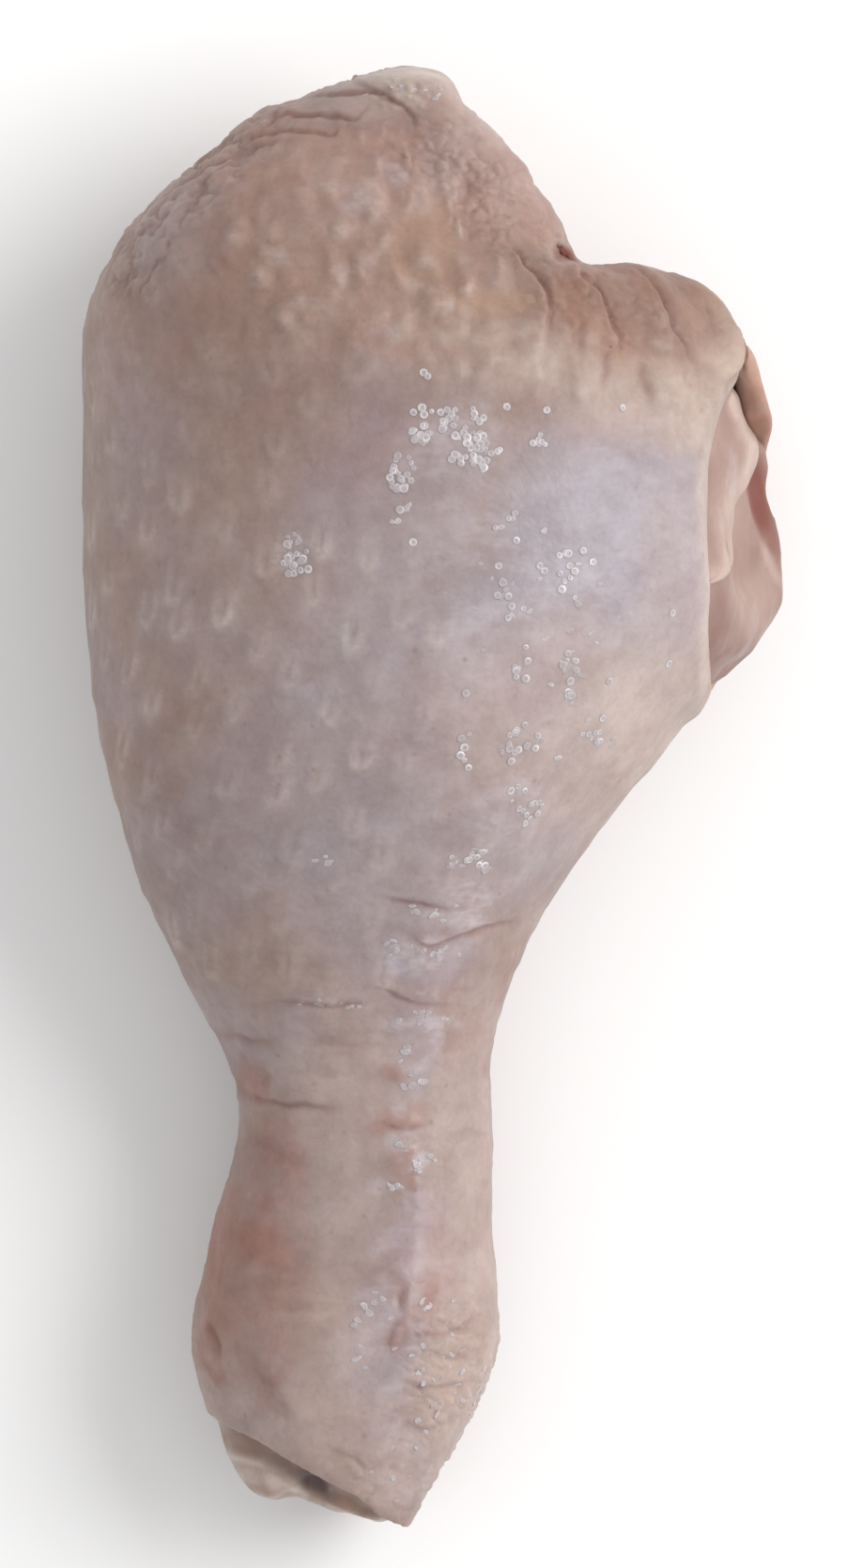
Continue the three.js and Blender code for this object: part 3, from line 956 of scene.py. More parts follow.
    def build(self) -> bpy.types.Object:
        """Sculpts and dresses the skin.

        Returns:
            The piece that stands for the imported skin.
        """
        piece = remeshed_copy("skin", "leg_skin", self.voxel)
        surface = Surface(piece)
        self._even_out(surface)
        surface.refine(self._finely_worked(surface))
        self._shape_lip(surface)
        outside = self._outside(surface)
        self._store_zones(surface, outside)
        self._sculpt(surface, outside)
        surface.thin_out(self._hidden(surface, outside), self.triangles)
        self.finish.dress(piece)
        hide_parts("skin")
        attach(piece, BODY)
        return piece

    def _finely_worked(self, surface: Surface) -> Array:
        """Which vertices lie where creases, crinkles, crumbs or scales are sculpted."""
        pixels = surface.pixels()
        near = in_patches(pixels, self.crinkled + self.crumbs + self.scaly + self.cobbled) > 0.3
        for crease in self.creases:
            line = smooth_line(crease.path)
            low, high = line.min(0) - 12.0, line.max(0) + 12.0
            rows = np.flatnonzero(((pixels > low) & (pixels < high)).all(1))
            signed, _ = to_line(pixels[rows], line)
            near[rows[np.abs(signed) < 8.0]] = True
        return near & (surface.normals[:, 2] > -0.2)

    def _shape_lip(self, surface: Surface) -> None:
        """Draws the cut's lower lip in under the flesh, and lifts its upper end up to the fold."""
        right, down = surface.pixels().T
        low = smoothstep(15.0 * MM, 13.0 * MM, surface.points[:, 2])
        beside = smoothstep(455.0, 500.0, down) * smoothstep(755.0, 725.0, down)
        shift = low * beside * 6.0 * smoothstep(770.0, 815.0, right + 0.6 * np.maximum(down - 630.0, 0.0))
        surface.points[:, 0] -= shift * PHOTO.pitch()
        behind = smoothstep(768.0, 786.0, right) * smoothstep(345.0, 380.0, down) * smoothstep(495.0, 440.0, down)
        depth = surface.points[:, 2]
        lip = smoothstep(8.0 * MM, 12.0 * MM, depth) * smoothstep(19.0 * MM, 16.0 * MM, depth)
        surface.points[:, 2] += 7.5 * MM * behind * lip
        surface.write()

    def _even_out(self, surface: Surface) -> None:
        """Takes the solid's facets out, but leaves its cut rims their thickness."""
        pixels = surface.pixels()
        at_cut = smoothstep(690.0, 730.0, pixels[:, 0]) * smoothstep(360.0, 400.0, pixels[:, 1])
        at_hock = smoothstep(1440.0, 1500.0, pixels[:, 1])
        sharp = smoothstep(0.06, 0.2, surface.blurred(surface.sharpness(), 4))
        share = 0.5 * (1.0 - 0.94 * sharp * np.maximum(at_cut, at_hock))
        surface.points = surface.blurred(surface.points, self.even_rounds, share)
        surface.points = surface.blurred(surface.points, 4)
        folded = in_patches(pixels, self.folded)
        surface.points = surface.blurred(surface.points, self.even_rounds, 0.5 * folded)
        surface.points[:, 2] = np.maximum(surface.points[:, 2], 0.0)
        surface.write()
        surface.nudge()

    def _outside(self, surface: Surface) -> Array:
        """How much each point is on the outside of the sleeve, from 0 to 1."""
        inside = np.zeros(len(surface.points))
        for node in ("meat", "shin_bone"):
            distances, ways = distance_to_node(surface.points, node, 1.6 * MM)
            facing = (ways * surface.normals).sum(1)
            inside = np.maximum(inside, (facing > 0.35) & (distances < 1.6 * MM))
        return smoothstep(0.75, 0.35, surface.blurred(inside, 3))

    def _around(self, surface: Surface) -> Array:
        """How far round the leg each point lies from the line along its top, in pixels."""
        y = surface.points[:, 1]
        rows = np.linspace(y.min(), y.max(), 60)
        nearest = np.clip(np.searchsorted(rows, y), 0, 59)
        middles = []
        for row in range(60):
            x, z = surface.points[np.abs(nearest - row) < 2][:, [0, 2]].T
            middles.append(((x.min() + x.max()) / 2, (z.min() + z.max()) / 2, np.ptp(x) / 4 + np.ptp(z) / 4))
        window = np.ones(13) / 13
        columns = [np.convolve(np.pad(column, 6, "edge"), window, "valid") for column in np.array(middles).T]
        middle_x, middle_z, radius = (np.interp(y, rows, column) for column in columns)
        turn = np.arctan2(surface.points[:, 0] - middle_x, surface.points[:, 2] - middle_z)
        return turn * radius / PHOTO.pitch()

    def _store_zones(self, surface: Surface, outside: Array) -> None:
        """Keeps on the mesh where its colours and its wetness lie.

        Args:
            surface: The skin.
            outside: How much each point is on its outside.
        """
        pixels = surface.pixels()
        top = smoothstep(-0.35, 0.15, surface.normals[:, 2]) * outside
        wander = 14.0 * np.stack([layered_noise(surface.points, 7 * MM, seed) for seed in (3, 4)], -1)
        wander += 12.0 * np.stack([layered_noise(surface.points, 3 * MM, seed) for seed in (5, 6)], -1)
        around = pixels + wander
        knee = smoothstep(430.0, 230.0, around[:, 1])
        fat = np.maximum(in_patches(around, self.fat) * top, 0.45 * knee * (1.0 - 0.8 * top))
        surface.store("fat", fat)
        from_rim, _ = to_line(pixels + 0.15 * wander, smooth_line(self.rim))
        rim = 0.5 * bell(from_rim, 8.0) * smoothstep(18.0 * MM, 24.0 * MM, surface.points[:, 2])
        surface.store("cream", np.maximum(in_patches(around, self.cream) * top, rim))
        # bluish skin and painted sheen
        surface.store("lilac_and_sheen", in_patches(around, self.lilac_and_sheen) * top)
        surface.store("flush", in_patches(around, self.flush) * top)
        surface.store("amber", in_patches(around, self.amber) * top)
        # painted shade
        surface.store("dim", in_patches(around, self.dim) * top)
        surface.store("blood", in_patches(pixels + 0.2 * wander, self.blood))
        surface.store("wet", in_patches(pixels + 0.5 * wander, self.wet) * top)
        # painted sheen and glints, with two fascia patches
        surface.store("film_and_sheen", in_patches(around, self.film_and_sheen) * top)
        in_cut = smoothstep(752.0, 762.0, pixels[:, 0]) * smoothstep(425.0, 445.0, pixels[:, 1])
        behind = smoothstep(786.0, 794.0, pixels[:, 0]) * smoothstep(440.0, 425.0, pixels[:, 1])
        low = smoothstep(30.0 * MM, 26.0 * MM, surface.points[:, 2]) * smoothstep(-0.5, 0.1, surface.normals[:, 2])
        surface.store("raw", np.maximum(in_cut * low, 0.8 * behind))

    def _sculpt(self, surface: Surface, outside: Array) -> None:
        """Raises and sinks the skin's own relief.

        Args:
            surface: The skin.
            outside: How much each point is on its outside.
        """
        pixels = surface.pixels()
        top = smoothstep(-0.3, 0.2, surface.normals[:, 2])
        around = self._around(surface)
        crowded = np.maximum(in_patches(pixels, self.crowded) * top,
                             smoothstep(420.0, 300.0, pixels[:, 1]) * (1.0 - top))
        smooth = in_patches(pixels, self.smooth) * top

        height = self.unevenness * layered_noise(surface.points, 13 * MM, 11, 3)
        bumps, pale, pore = self._goosebumps(pixels, around, crowded, smooth)
        lumps, lump_highlight, lump_shade = self._lumps(pixels, around, crowded)
        folds, fold_shade = self._folds(pixels, top)
        fine, fine_shade = self._wrinkles(surface, pixels, top)
        height += bumps + lumps + folds + fine
        height += 0.6 * MM * self._tendon(pixels) * top
        surface.push(height * outside)
        # painted shade in grooves and painted highlights on bumps, kept for the material
        groove = np.clip(np.maximum.reduce([lump_shade, fold_shade, fine_shade]), 0.0, 1.3)
        surface.store("groove", groove * outside)
        surface.store("pale", np.clip(np.maximum(pale, lump_highlight), 0.0, 1.0) * outside)
        pore[:, 2] *= outside
        surface.store("pore", pore)

    def _goosebumps(self, pixels: Array, around: Array, crowded: Array, smooth: Array) -> tuple:
        """Staggered goosebumps: two bars that join at their lower end, with a slit between.

        Args:
            pixels: The pixel over each point.
            around: How far round the leg each point lies, in pixels.
            crowded: Where lumps stand in their place.
            smooth: Where the skin is drawn tight.

        Returns:
            Their height, how pale they are (paler skin with painted highlight on the bars and foot), and each point's
            place in its goosebump.
        """
        pitch_u, pitch_v = self.bump_pitch
        grid = cells(around / pitch_u, -pixels[:, 1] / pitch_v, 21, 0.5, True)
        across, along = grid.across * pitch_u, grid.along * pitch_v
        at_ankle = smoothstep(980.0, 1130.0, pixels[:, 1])
        strength = (0.35 + 0.5 * grid.chance) * (1.0 - crowded) * (1.0 - 0.8 * smooth)
        strength *= (1.0 - 0.85 * at_ankle) * (1.0 - 0.4 * smoothstep(400.0, 560.0, pixels[:, 0]))
        strength *= 0.45 + 0.55 * smoothstep(400.0, 680.0, pixels[:, 1])
        ragged = 3.0 * noise(np.stack([around / 9.0, pixels[:, 1] / 12.0, np.zeros(len(around))], -1), 1.0, 23)
        across, along = across + 0.6 * ragged, along + ragged
        spread = (7.0 + 3.0 * grid.chance) * smoothstep(-20.0, -2.0, along)
        long = smoothstep(-22.0, -8.0, along) * smoothstep(38.0, 4.0, along)
        bars = bell(np.abs(across) - spread, 6.0) * long
        foot = bell(np.hypot(across * 0.7, along + 12.0), 9.0)
        swell = bell(np.hypot(across, along * 0.7), 22.0)
        height = self.goosebump * strength * (0.7 * bars + 0.8 * foot + 0.6 * swell)
        # pale bars and foot: paler skin with painted highlight
        pale = strength * (0.8 * bars + 0.45 * foot)
        inside = smoothstep(24.0, 14.0, np.abs(across)) * smoothstep(34.0, 26.0, np.abs(along))
        return height, pale, np.stack([across / 10.0, along / 10.0, strength * inside], -1)

    def _lumps(self, pixels: Array, around: Array, crowded: Array) -> tuple[Array, Array, Array]:
        """The crowded lumps by the knee: long, leaning mounds with painted highlights on their lower ends.

        Args:
            pixels: The pixel over each point.
            around: How far round the leg each point lies, in pixels.
            crowded: Where they stand.

        Returns:
            Their height, their painted highlights and the painted shade in the grooves below them.
        """
        lean = math.tan(math.radians(self.lump_lean))
        width, length = self.lump_pitch
        height, pale, groove = (np.zeros(len(pixels)) for _ in range(3))
        flat = np.zeros(len(around))
        ragged = 4.0 * noise(np.stack([around / 13.0, pixels[:, 1] / 17.0, flat], -1), 1.0, 35)
        bend = 9.0 * noise(np.stack([around / 42.0, pixels[:, 1] / 36.0, flat], -1), 1.0, 36)
        drift = 12.0 * noise(np.stack([around / 36.0, pixels[:, 1] / 60.0, flat], -1), 1.0, 38)
        for seed, size, share in ((33, 1.0, 0.9), (37, 1.6, 0.75), (39, 0.6, 0.3)):
            u = (around + lean * pixels[:, 1] + ragged + bend) / (width * size)
            grid = cells(u, (drift - ragged - pixels[:, 1]) / (length * size), seed, 0.98, True)
            across, along = grid.across * width, grid.along * length
            strength = share * crowded * (0.15 + 0.85 * grid.chance)
            other = (7.0 * grid.chance) % 1.0
            mound = bell(np.hypot(across / (9.0 + 3.0 * other), along / (17.0 - 6.0 * other)), 1.0)
            foot = bell(np.hypot(across, along + 9.0), 6.5 + 3.0 * other)
            height += self.lump * strength * (mound + 0.55 * foot)
            # painted highlight on the mound and its lower end; painted shade in the groove below it
            pale = np.maximum(pale, strength * (0.32 * mound + 0.85 * foot * grid.chance))
            groove = np.maximum(groove, 0.2 * strength * bell(np.hypot(across / 10.0, (along + 21.0) / 5.0), 1.0))
        # painted highlight spots, each on a small raised dot
        for spot in self.spots:
            dot = bell(np.hypot(*(pixels + ragged[:, None] - np.array(spot)).T), 9.0)
            height += 0.25 * MM * dot
            pale = np.maximum(pale, 0.9 * dot)
        return height, pale, groove

    def _folds(self, pixels: Array, top: Array) -> tuple[Array, Array]:
        """The creases that are drawn over the photo.

        Args:
            pixels: The pixel over each point.
            top: How much each point faces up.

        Returns:
            Their height and the painted shade in their grooves and below their steps.
        """
        height, groove = np.zeros(len(pixels)), np.zeros(len(pixels))
        wander = 2.4 * np.stack([noise(np.stack([*pixels.T / 17.0, np.full(len(pixels), k)], -1), 1.0, 5) for k in (0.0, 9.0)], -1)
        for crease in self.creases:
            signed, share = to_line(pixels + crease.ragged * wander, smooth_line(crease.path))
            fade = np.sqrt(smoothstep(0.0, 0.35, share) * smoothstep(1.0, 0.6, share)) * top
            over = signed * crease.side.value
            height -= crease.depth * bell(signed, crease.width) * fade
            if crease.side is not Side.NEITHER:
                rise = smoothstep(0.0, crease.width, over) * np.exp(-np.maximum(over, 0.0) / crease.reach)
                height += crease.step * rise * fade
            # painted shade: the tint in the groove and a shadow on the lower side of the step
            under = np.maximum(-over, 0.0)
            shadow = crease.shade * smoothstep(0.0, 3.0, under) * np.exp(-under / 12.0)
            groove = np.maximum(groove, (crease.tint * bell(signed, crease.width * 1.1) + shadow) * fade)
        return height, groove

    def _tendon(self, pixels: Array) -> Array:
        """The low ridge over the tendon that runs down the ankle."""
        line = smooth_line(((450, 880), (455, 1000), (443, 1100), (436, 1200), (444, 1300), (430, 1420), (420, 1520)))
        signed, share = to_line(pixels, line)
        return bell(signed, 26.0) * smoothstep(0.0, 0.25, share) * smoothstep(1.0, 0.8, share)

    def _wrinkles(self, surface: Surface, pixels: Array, top: Array) -> tuple[Array, Array]:
        """Fine wrinkles across the ankle, scales by the hock and crinkles by the knee.

        Args:
            surface: The skin.
            pixels: The pixel over each point.
            top: How much each point faces up.

        Returns:
            Their height and the painted shade in their grooves.
        """
        right, down = pixels.T
        depth = surface.points[:, 2] / PHOTO.pitch()
        lie = np.stack([right / 70.0, down / 13.0, depth / 50.0], -1)
        ankle = smoothstep(900.0, 1050.0, down) * smoothstep(1560.0, 1400.0, down)
        across = layered_noise(lie, 1.0, 41, 2)
        upright = layered_noise(np.stack([right / 12.0, down / 60.0, depth / 12.0], -1), 1.0, 43, 2)
        height = MM * ankle * (0.15 * across + 0.07 * upright)
        # painted shade in the low places of the wrinkles
        groove = 0.4 * ankle * smoothstep(0.3, 0.75, -across)

        scaly = in_patches(pixels, self.scaly) * smoothstep(-0.5, 0.1, surface.normals[:, 2])
        turned = np.stack([right * 0.9 + down * 0.42, down * 0.9 - right * 0.42], -1)
        scales = cells(turned[:, 0] / 19.0, turned[:, 1] / 11.0, 51, 0.95)
        sweep = layered_noise(np.stack([turned[:, 0] / 34.0, turned[:, 1] / 9.0, depth / 30.0], -1), 1.0, 53, 3)
        flakes = smoothstep(0.0, 0.5, scales.border) - 0.5
        height += scaly * MM * (0.24 * flakes * scales.chance + 0.26 * sweep)
        # painted shade along the scales' borders
        groove = np.maximum(groove, 0.3 * scaly * smoothstep(0.2, 0.0, scales.border) * scales.chance)

        crinkled = in_patches(pixels, self.crinkled)
        slope = np.stack([(right + down) / 22.0, (right - down) / 40.0, depth / 24.0], -1)
        crinkle = np.minimum(np.abs(layered_noise(slope, 1.0, 61, 3)), 0.4) / 0.4
        pits = smoothstep(0.4, 0.8, noise(np.stack([right / 9.0, down / 12.0, depth / 11.0], -1), 1.0, 63))
        height += crinkled * MM * (0.5 * (crinkle - 0.6) - 0.12 * pits)
        # painted shade in the crinkles' folds and pits
        groove = np.maximum(groove, crinkled * np.maximum(0.7 * smoothstep(0.45, 0.0, crinkle), 0.2 * pits))

        cobbled = in_patches(pixels, self.cobbled) * top
        warp = 4.0 * noise(np.stack([right / 15.0, down / 15.0, depth / 15.0], -1), 1.0, 65)
        stones = cells((right + 0.5 * down + warp) / 19.0, (down - 0.5 * right - warp) / 15.0, 67, 0.95)
        height += cobbled * MM * 0.28 * (smoothstep(0.0, 0.5, stones.border) - 0.4) * (0.4 + 0.6 * stones.chance)
        # painted shade between the cobbles
        groove = np.maximum(groove, 0.3 * cobbled * smoothstep(0.16, 0.0, stones.border))

        crumbs = in_patches(pixels, self.crumbs) * top
        crumb = cells(right / 9.0, down / 8.0, 71, 0.9)
        height += crumbs * 0.4 * MM * smoothstep(0.6, 0.1, crumb.near) * crumb.chance
        return height, groove

    def _hidden(self, surface: Surface, outside: Array) -> Array:
        """Where faces may be joined: inside the sleeve, less beneath it and least on top."""
        beneath = smoothstep(-0.2, -0.6, surface.normals[:, 2])
        return np.where(outside < 0.05, 1.0, 0.1 + 0.6 * beneath)

    # Painted highlight spots among the lumps.
    spots: tuple[Pixel, ...] = (
        (254, 258), (278, 306), (323, 333), (344, 336), (398, 357), (458, 333), (476, 330), (422, 363), (554, 360),
        (366, 300), (352, 212), (300, 282), (440, 312), (508, 372), (530, 392),
    )
    rim: tuple[Pixel, ...] = (
        (782, 341), (788, 372), (788, 391), (778, 407), (765, 419), (762, 459), (748, 488), (745, 524),
        (750, 588), (753, 621), (751, 701), (747, 740),
    )
    fat: tuple[Patch, ...] = (
        Patch((480, 372), (130, 40), -12, 0.6),
        Patch((640, 415), (140, 52), -17, 0.7),
        Patch((758, 356), (34, 46), 20, 0.9),
        Patch((668, 366), (20, 30), 0, 0.4),
        Patch((602, 350), (18, 34), 0, 0.4),
        Patch((340, 320), (70, 60), 0, 0.3),
        Patch((525, 172), (135, 48), -51, 0.5),
        Patch((430, 100), (70, 30), 10, 0.6),
        Patch((610, 780), (110, 150), 60, 0.6),
        Patch((720, 640), (50, 130), 0, 0.35),
        Patch((500, 1450), (60, 230), 0, 0.6),
        Patch((500, 1200), (40, 150), 0, 0.5),
        Patch((370, 1530), (90, 60), -30, 0.5),
        Patch((375, 1190), (75, 130), 0, 0.5),
        Patch((350, 1430), (55, 60), 0, 0.45),
        Patch((250, 1480), (50, 40), 0, 0.4),
    )
    cream: tuple[Patch, ...] = (
        Patch((698, 440), (84, 36), -17, 0.5, 1.0),
        Patch((600, 415), (70, 18), -17, 0.3, 1.0),
        Patch((768, 384), (22, 46), 20, 0.65),
        Patch((690, 400), (50, 24), -17, 0.4, 1.0),
        Patch((510, 358), (50, 14), 0, 0.4),
        Patch((680, 745), (80, 56), 40, 0.3, 1.2),
        Patch((430, 88), (50, 14), 8, 0.55),
        Patch((432, 112), (16, 12), 0, 0.6),
    )
    # Bluish skin; the strong patches on the right belly and those along the tendon are painted sheen as well.
    lilac_and_sheen: tuple[Patch, ...] = (
        Patch((704, 600), (60, 110), 0, 0.9, 1.0),
        Patch((370, 1180), (80, 140), 0, 0.3),
        Patch((440, 740), (140, 140), 0, 0.4),
        Patch((646, 578), (120, 112), 0, 0.9, 1.0),
        Patch((580, 700), (120, 130), 0, 0.9, 1.0),
        Patch((556, 850), (100, 110), -30, 0.4, 1.0),
        Patch((290, 850), (80, 90), 0, 0.35, 1.0),
        Patch((420, 530), (100, 110), -20, 0.45, 1.0),
        Patch((405, 900), (90, 130), 0, 0.5),
        Patch((450, 1010), (60, 30), 0, 0.6),
        Patch((435, 1110), (30, 60), 0, 0.5),
        Patch((455, 1330), (40, 70), 10, 0.6),
        Patch((400, 1430), (50, 70), -20, 0.5),
        Patch((420, 1555), (60, 40), -45, 0.35),
    )
    flush: tuple[Patch, ...] = (
        Patch((450, 210), (150, 90), -20, 0.5),
        Patch((320, 240), (130, 120), 20, 0.5),
        Patch((440, 340), (150, 60), 0, 0.55),
        Patch((340, 440), (120, 80), 0, 0.35, 1.0),
        Patch((620, 440), (110, 50), 0, 0.25, 1.0),
        Patch((560, 220), (60, 80), -45, 0.6),
        # also painted shade over the lobe
        Patch((672, 330), (104, 56), 0, 0.9),
        Patch((190, 390), (90, 80), 0, 0.3, 1.0),
        Patch((275, 1250), (50, 70), 0, 0.55),
        Patch((265, 1340), (62, 90), 0, 0.8),
        Patch((268, 1412), (55, 60), -30, 0.5),
        Patch((296, 1470), (14, 34), -30, 0.5),
        Patch((228, 1440), (16, 36), 15, 0.9),
        Patch((262, 1155), (20, 26), 0, 0.7),
        Patch((280, 1320), (16, 40), 0, 0.8),
        Patch((425, 1190), (38, 14), 5, 0.55),
        Patch((428, 1244), (18, 24), 0, 0.5),
        Patch((414, 1142), (16, 12), 0, 0.6),
        Patch((452, 1366), (11, 26), 0, 0.65),
        Patch((424, 1392), (10, 14), 0, 0.6),
        Patch((414, 1420), (12, 20), 20, 0.7),
        Patch((440, 1350), (50, 60), 0, 0.3),
        Patch((500, 1060), (70, 90), 60, 0.25),
        Patch((300, 130), (40, 16), 30, 0.5),
        Patch((580, 240), (24, 40), 0, 0.35),
        Patch((630, 330), (18, 50), 25, 0.45),
        Patch((700, 320), (16, 50), 25, 0.4),
        Patch((170, 700), (60, 220), 0, 0.12),
        Patch((250, 350), (120, 70), 0, 0.36),
    )
    amber: tuple[Patch, ...] = (
        Patch((400, 290), (170, 110), 0, 0.26, 1.0),
        Patch((690, 350), (110, 60), 0, 0.45),
        Patch((796, 410), (14, 50), 0, 0.5),
        Patch((452, 268), (50, 40), 30, 0.6),
        Patch((520, 325), (52, 20), -8, 0.65),
        Patch((334, 300), (34, 26), 30, 0.45),
        Patch((272, 195), (12, 9), 0, 0.4),
        Patch((752, 332), (34, 28), 60, 0.55),
        Patch((660, 300), (28, 20), 0, 0.3),
        Patch((495, 328), (9, 7), 0, 0.7),
        Patch((240, 560), (60, 90), 0, 0.08),
        Patch((560, 250), (36, 26), 0, 0.3),
    )
    # Painted shade on the lobe, the knee, the belly, the ankle and the cut.
    dim: tuple[Patch, ...] = (
        Patch((704, 336), (92, 50), -12, 1.0, 1.2),
        Patch((640, 460), (110, 76), -14, 0.5, 1.2),
        Patch((384, 118), (46, 30), 10, 0.4, 1.2),
        Patch((640, 560), (90, 60), 0, 0.5, 1.2),
        Patch((420, 320), (200, 120), 0, 0.45, 1.2),
        Patch((330, 450), (120, 90), 0, 0.4, 1.2),
        Patch((340, 850), (60, 90), 0, 0.25, 1.2),
        Patch((190, 900), (60, 100), 0, 0.35, 1.2),
        Patch((378, 1270), (50, 70), 0, 0.4, 1.2),
        Patch((780, 480), (24, 60), 0, 0.7, 1.2),
        Patch((350, 820), (60, 60), 0, 0.2, 1.2),
    )
    blood: tuple[Patch, ...] = (
        Patch((602, 273), (13, 11), -10, 1.0, 0.8),
        Patch((706, 334), (3, 9), 20, 0.45, 1.2),
    )
    wet: tuple[Patch, ...] = (
        Patch((470, 470), (70, 60), 0, 0.9),
        Patch((600, 620), (130, 190), 20, 0.75),
        Patch((318, 600), (24, 60), 0, 0.8),
        Patch((540, 860), (60, 90), 20, 0.9),
        Patch((455, 1005), (50, 28), 8, 1.0),
        Patch((452, 1080), (34, 40), 0, 1.0),
        Patch((435, 1150), (24, 40), 0, 0.9),
        Patch((446, 1235), (18, 22), 0, 1.0),
        Patch((430, 1350), (30, 60), 0, 0.7),
        Patch((470, 1470), (50, 80), 20, 0.7),
        Patch((420, 100), (60, 40), 0, 0.7),
        Patch((380, 350), (120, 60), 0, 0.5),
    )
    # Painted sheen and glints of reflected light, and two whitish patches of fascia by the knee.
    film_and_sheen: tuple[Patch, ...] = (
        Patch((448, 1010), (44, 20), 10, 0.7),
        Patch((449, 1058), (12, 20), 0, 0.6),
        Patch((446, 1087), (38, 9), 0, 0.75),
        Patch((462, 1104), (10, 16), 0, 0.6),
        Patch((437, 1134), (13, 11), 0, 0.7),
        Patch((440, 1162), (12, 9), 0, 0.65),
        Patch((417, 1176), (9, 10), 0, 0.6),
        Patch((424, 1216), (14, 11), 0, 0.7),
        Patch((449, 1238), (14, 10), 20, 0.9),
        Patch((405, 1262), (26, 8), 10, 0.6),
        Patch((500, 960), (26, 34), 0, 0.8),
        Patch((455, 970), (26, 12), 0, 0.7),
        Patch((540, 860), (40, 30), 30, 0.5),
        Patch((480, 480), (60, 34), 20, 0.45),
        Patch((318, 598), (16, 24), 0, 0.5),
        Patch((416, 1325), (24, 20), 0, 0.5),
        Patch((400, 1380), (26, 22), 0, 0.5),
        Patch((398, 1420), (20, 24), 0, 0.5),
        Patch((418, 1500), (18, 30), -20, 0.5),
        Patch((655, 570), (100, 120), 0, 0.3),
        Patch((540, 620), (90, 100), 0, 0.4),
        Patch((422, 191), (15, 13), 0, 0.5),
        Patch((373, 220), (14, 12), 0, 0.4),
    )
    folded: tuple[Patch, ...] = (
        Patch((330, 128), (110, 44), 12, 1.0, 1.0),
        Patch((520, 170), (130, 60), -51, 0.8, 1.0),
        Patch((640, 340), (150, 70), -10, 1.0, 1.0),
    )
    crowded: tuple[Patch, ...] = (
        Patch((340, 250), (130, 110), 30, 1.0),
        Patch((420, 330), (150, 70), 0, 1.0),
        Patch((520, 370), (110, 55), 0, 0.8),
        Patch((470, 240), (90, 60), -40, 0.9),
        Patch((660, 405), (100, 50), 0, 0.7),
        Patch((540, 200), (90, 30), -51, 0.3),
    )
    smooth: tuple[Patch, ...] = (
        Patch((610, 590), (150, 190), 0, 1.0),
        Patch((420, 500), (80, 90), 0, 0.7),
        Patch((340, 940), (120, 60), 0, 0.5),
        Patch((540, 870), (100, 120), 0, 0.5),
    )
    scaly: tuple[Patch, ...] = (
        Patch((478, 1450), (52, 80), 0, 1.0),
        Patch((465, 1540), (50, 60), 30, 1.0),
        Patch((420, 1580), (50, 36), -30, 0.8),
        Patch((450, 1250), (40, 60), 0, 0.5),
        Patch((650, 330), (110, 46), -10, 0.75),
        Patch((540, 200), (90, 34), -51, 0.45),
    )
    crinkled: tuple[Patch, ...] = (
        Patch((215, 190), (34, 96), -45, 1.0),
        Patch((155, 265), (30, 64), -25, 0.9),
        Patch((275, 135), (46, 22), 25, 0.6),
    )
    cobbled: tuple[Patch, ...] = (
        Patch((505, 205), (100, 44), -51, 0.9, 1.0),
        Patch((450, 190), (70, 44), -40, 0.6, 1.0),
        Patch((568, 262), (40, 34), -45, 0.8, 1.0),
        Patch((620, 310), (50, 36), -20, 0.5, 1.0),
    )
    crumbs: tuple[Patch, ...] = (
        Patch((428, 105), (34, 20), 0, 0.8),
        Patch((500, 200), (60, 24), -51, 0.5),
        Patch((515, 230), (50, 30), -40, 0.6),
    )


@dataclass(frozen=True)
class MeatFinish(Finish):
    """Raw dark meat under a moist film.

    Attributes:
        pink: The paler flesh.
        deep: The darker flesh, and painted shade at the cut's lower left beside the rim.
        red: Blood, and painted shade in the deep hollows.
        film_and_sheen: Connective tissue over it.
    """

    name: str = "raw_meat"
    slot: str = "meat"
    glow: float = 0.3
    grain_stretch: float = 3.0
    pink: Rgb = srgb(150, 124, 116)
    deep: Rgb = srgb(134, 104, 97)
    red: Rgb = srgb(120, 66, 55)
    film_and_sheen: Rgb = srgb(172, 151, 143)

    def colour(self, nodes: NodeTree, grain: bpy.types.Node) -> object:
        """Flesh with redder hollows, darker as painted shade, and paler film."""
        tone = nodes.lay(self.pink, self.deep, nodes.attribute("deep"))
        tone = nodes.lay(tone, self.film_and_sheen, nodes.attribute("film_and_sheen"))
        tone = nodes.lay(tone, self.red, nodes.attribute("red"))
        mottle = nodes.fit(grain.outputs["Mottle"], 0.3, 0.7, 0.0, 1.0)
        return nodes.lay(tone, nodes.lay((0.84, 0.78, 0.76), (1.12, 1.1, 1.08), mottle), 0.7, Blend.MULTIPLY)


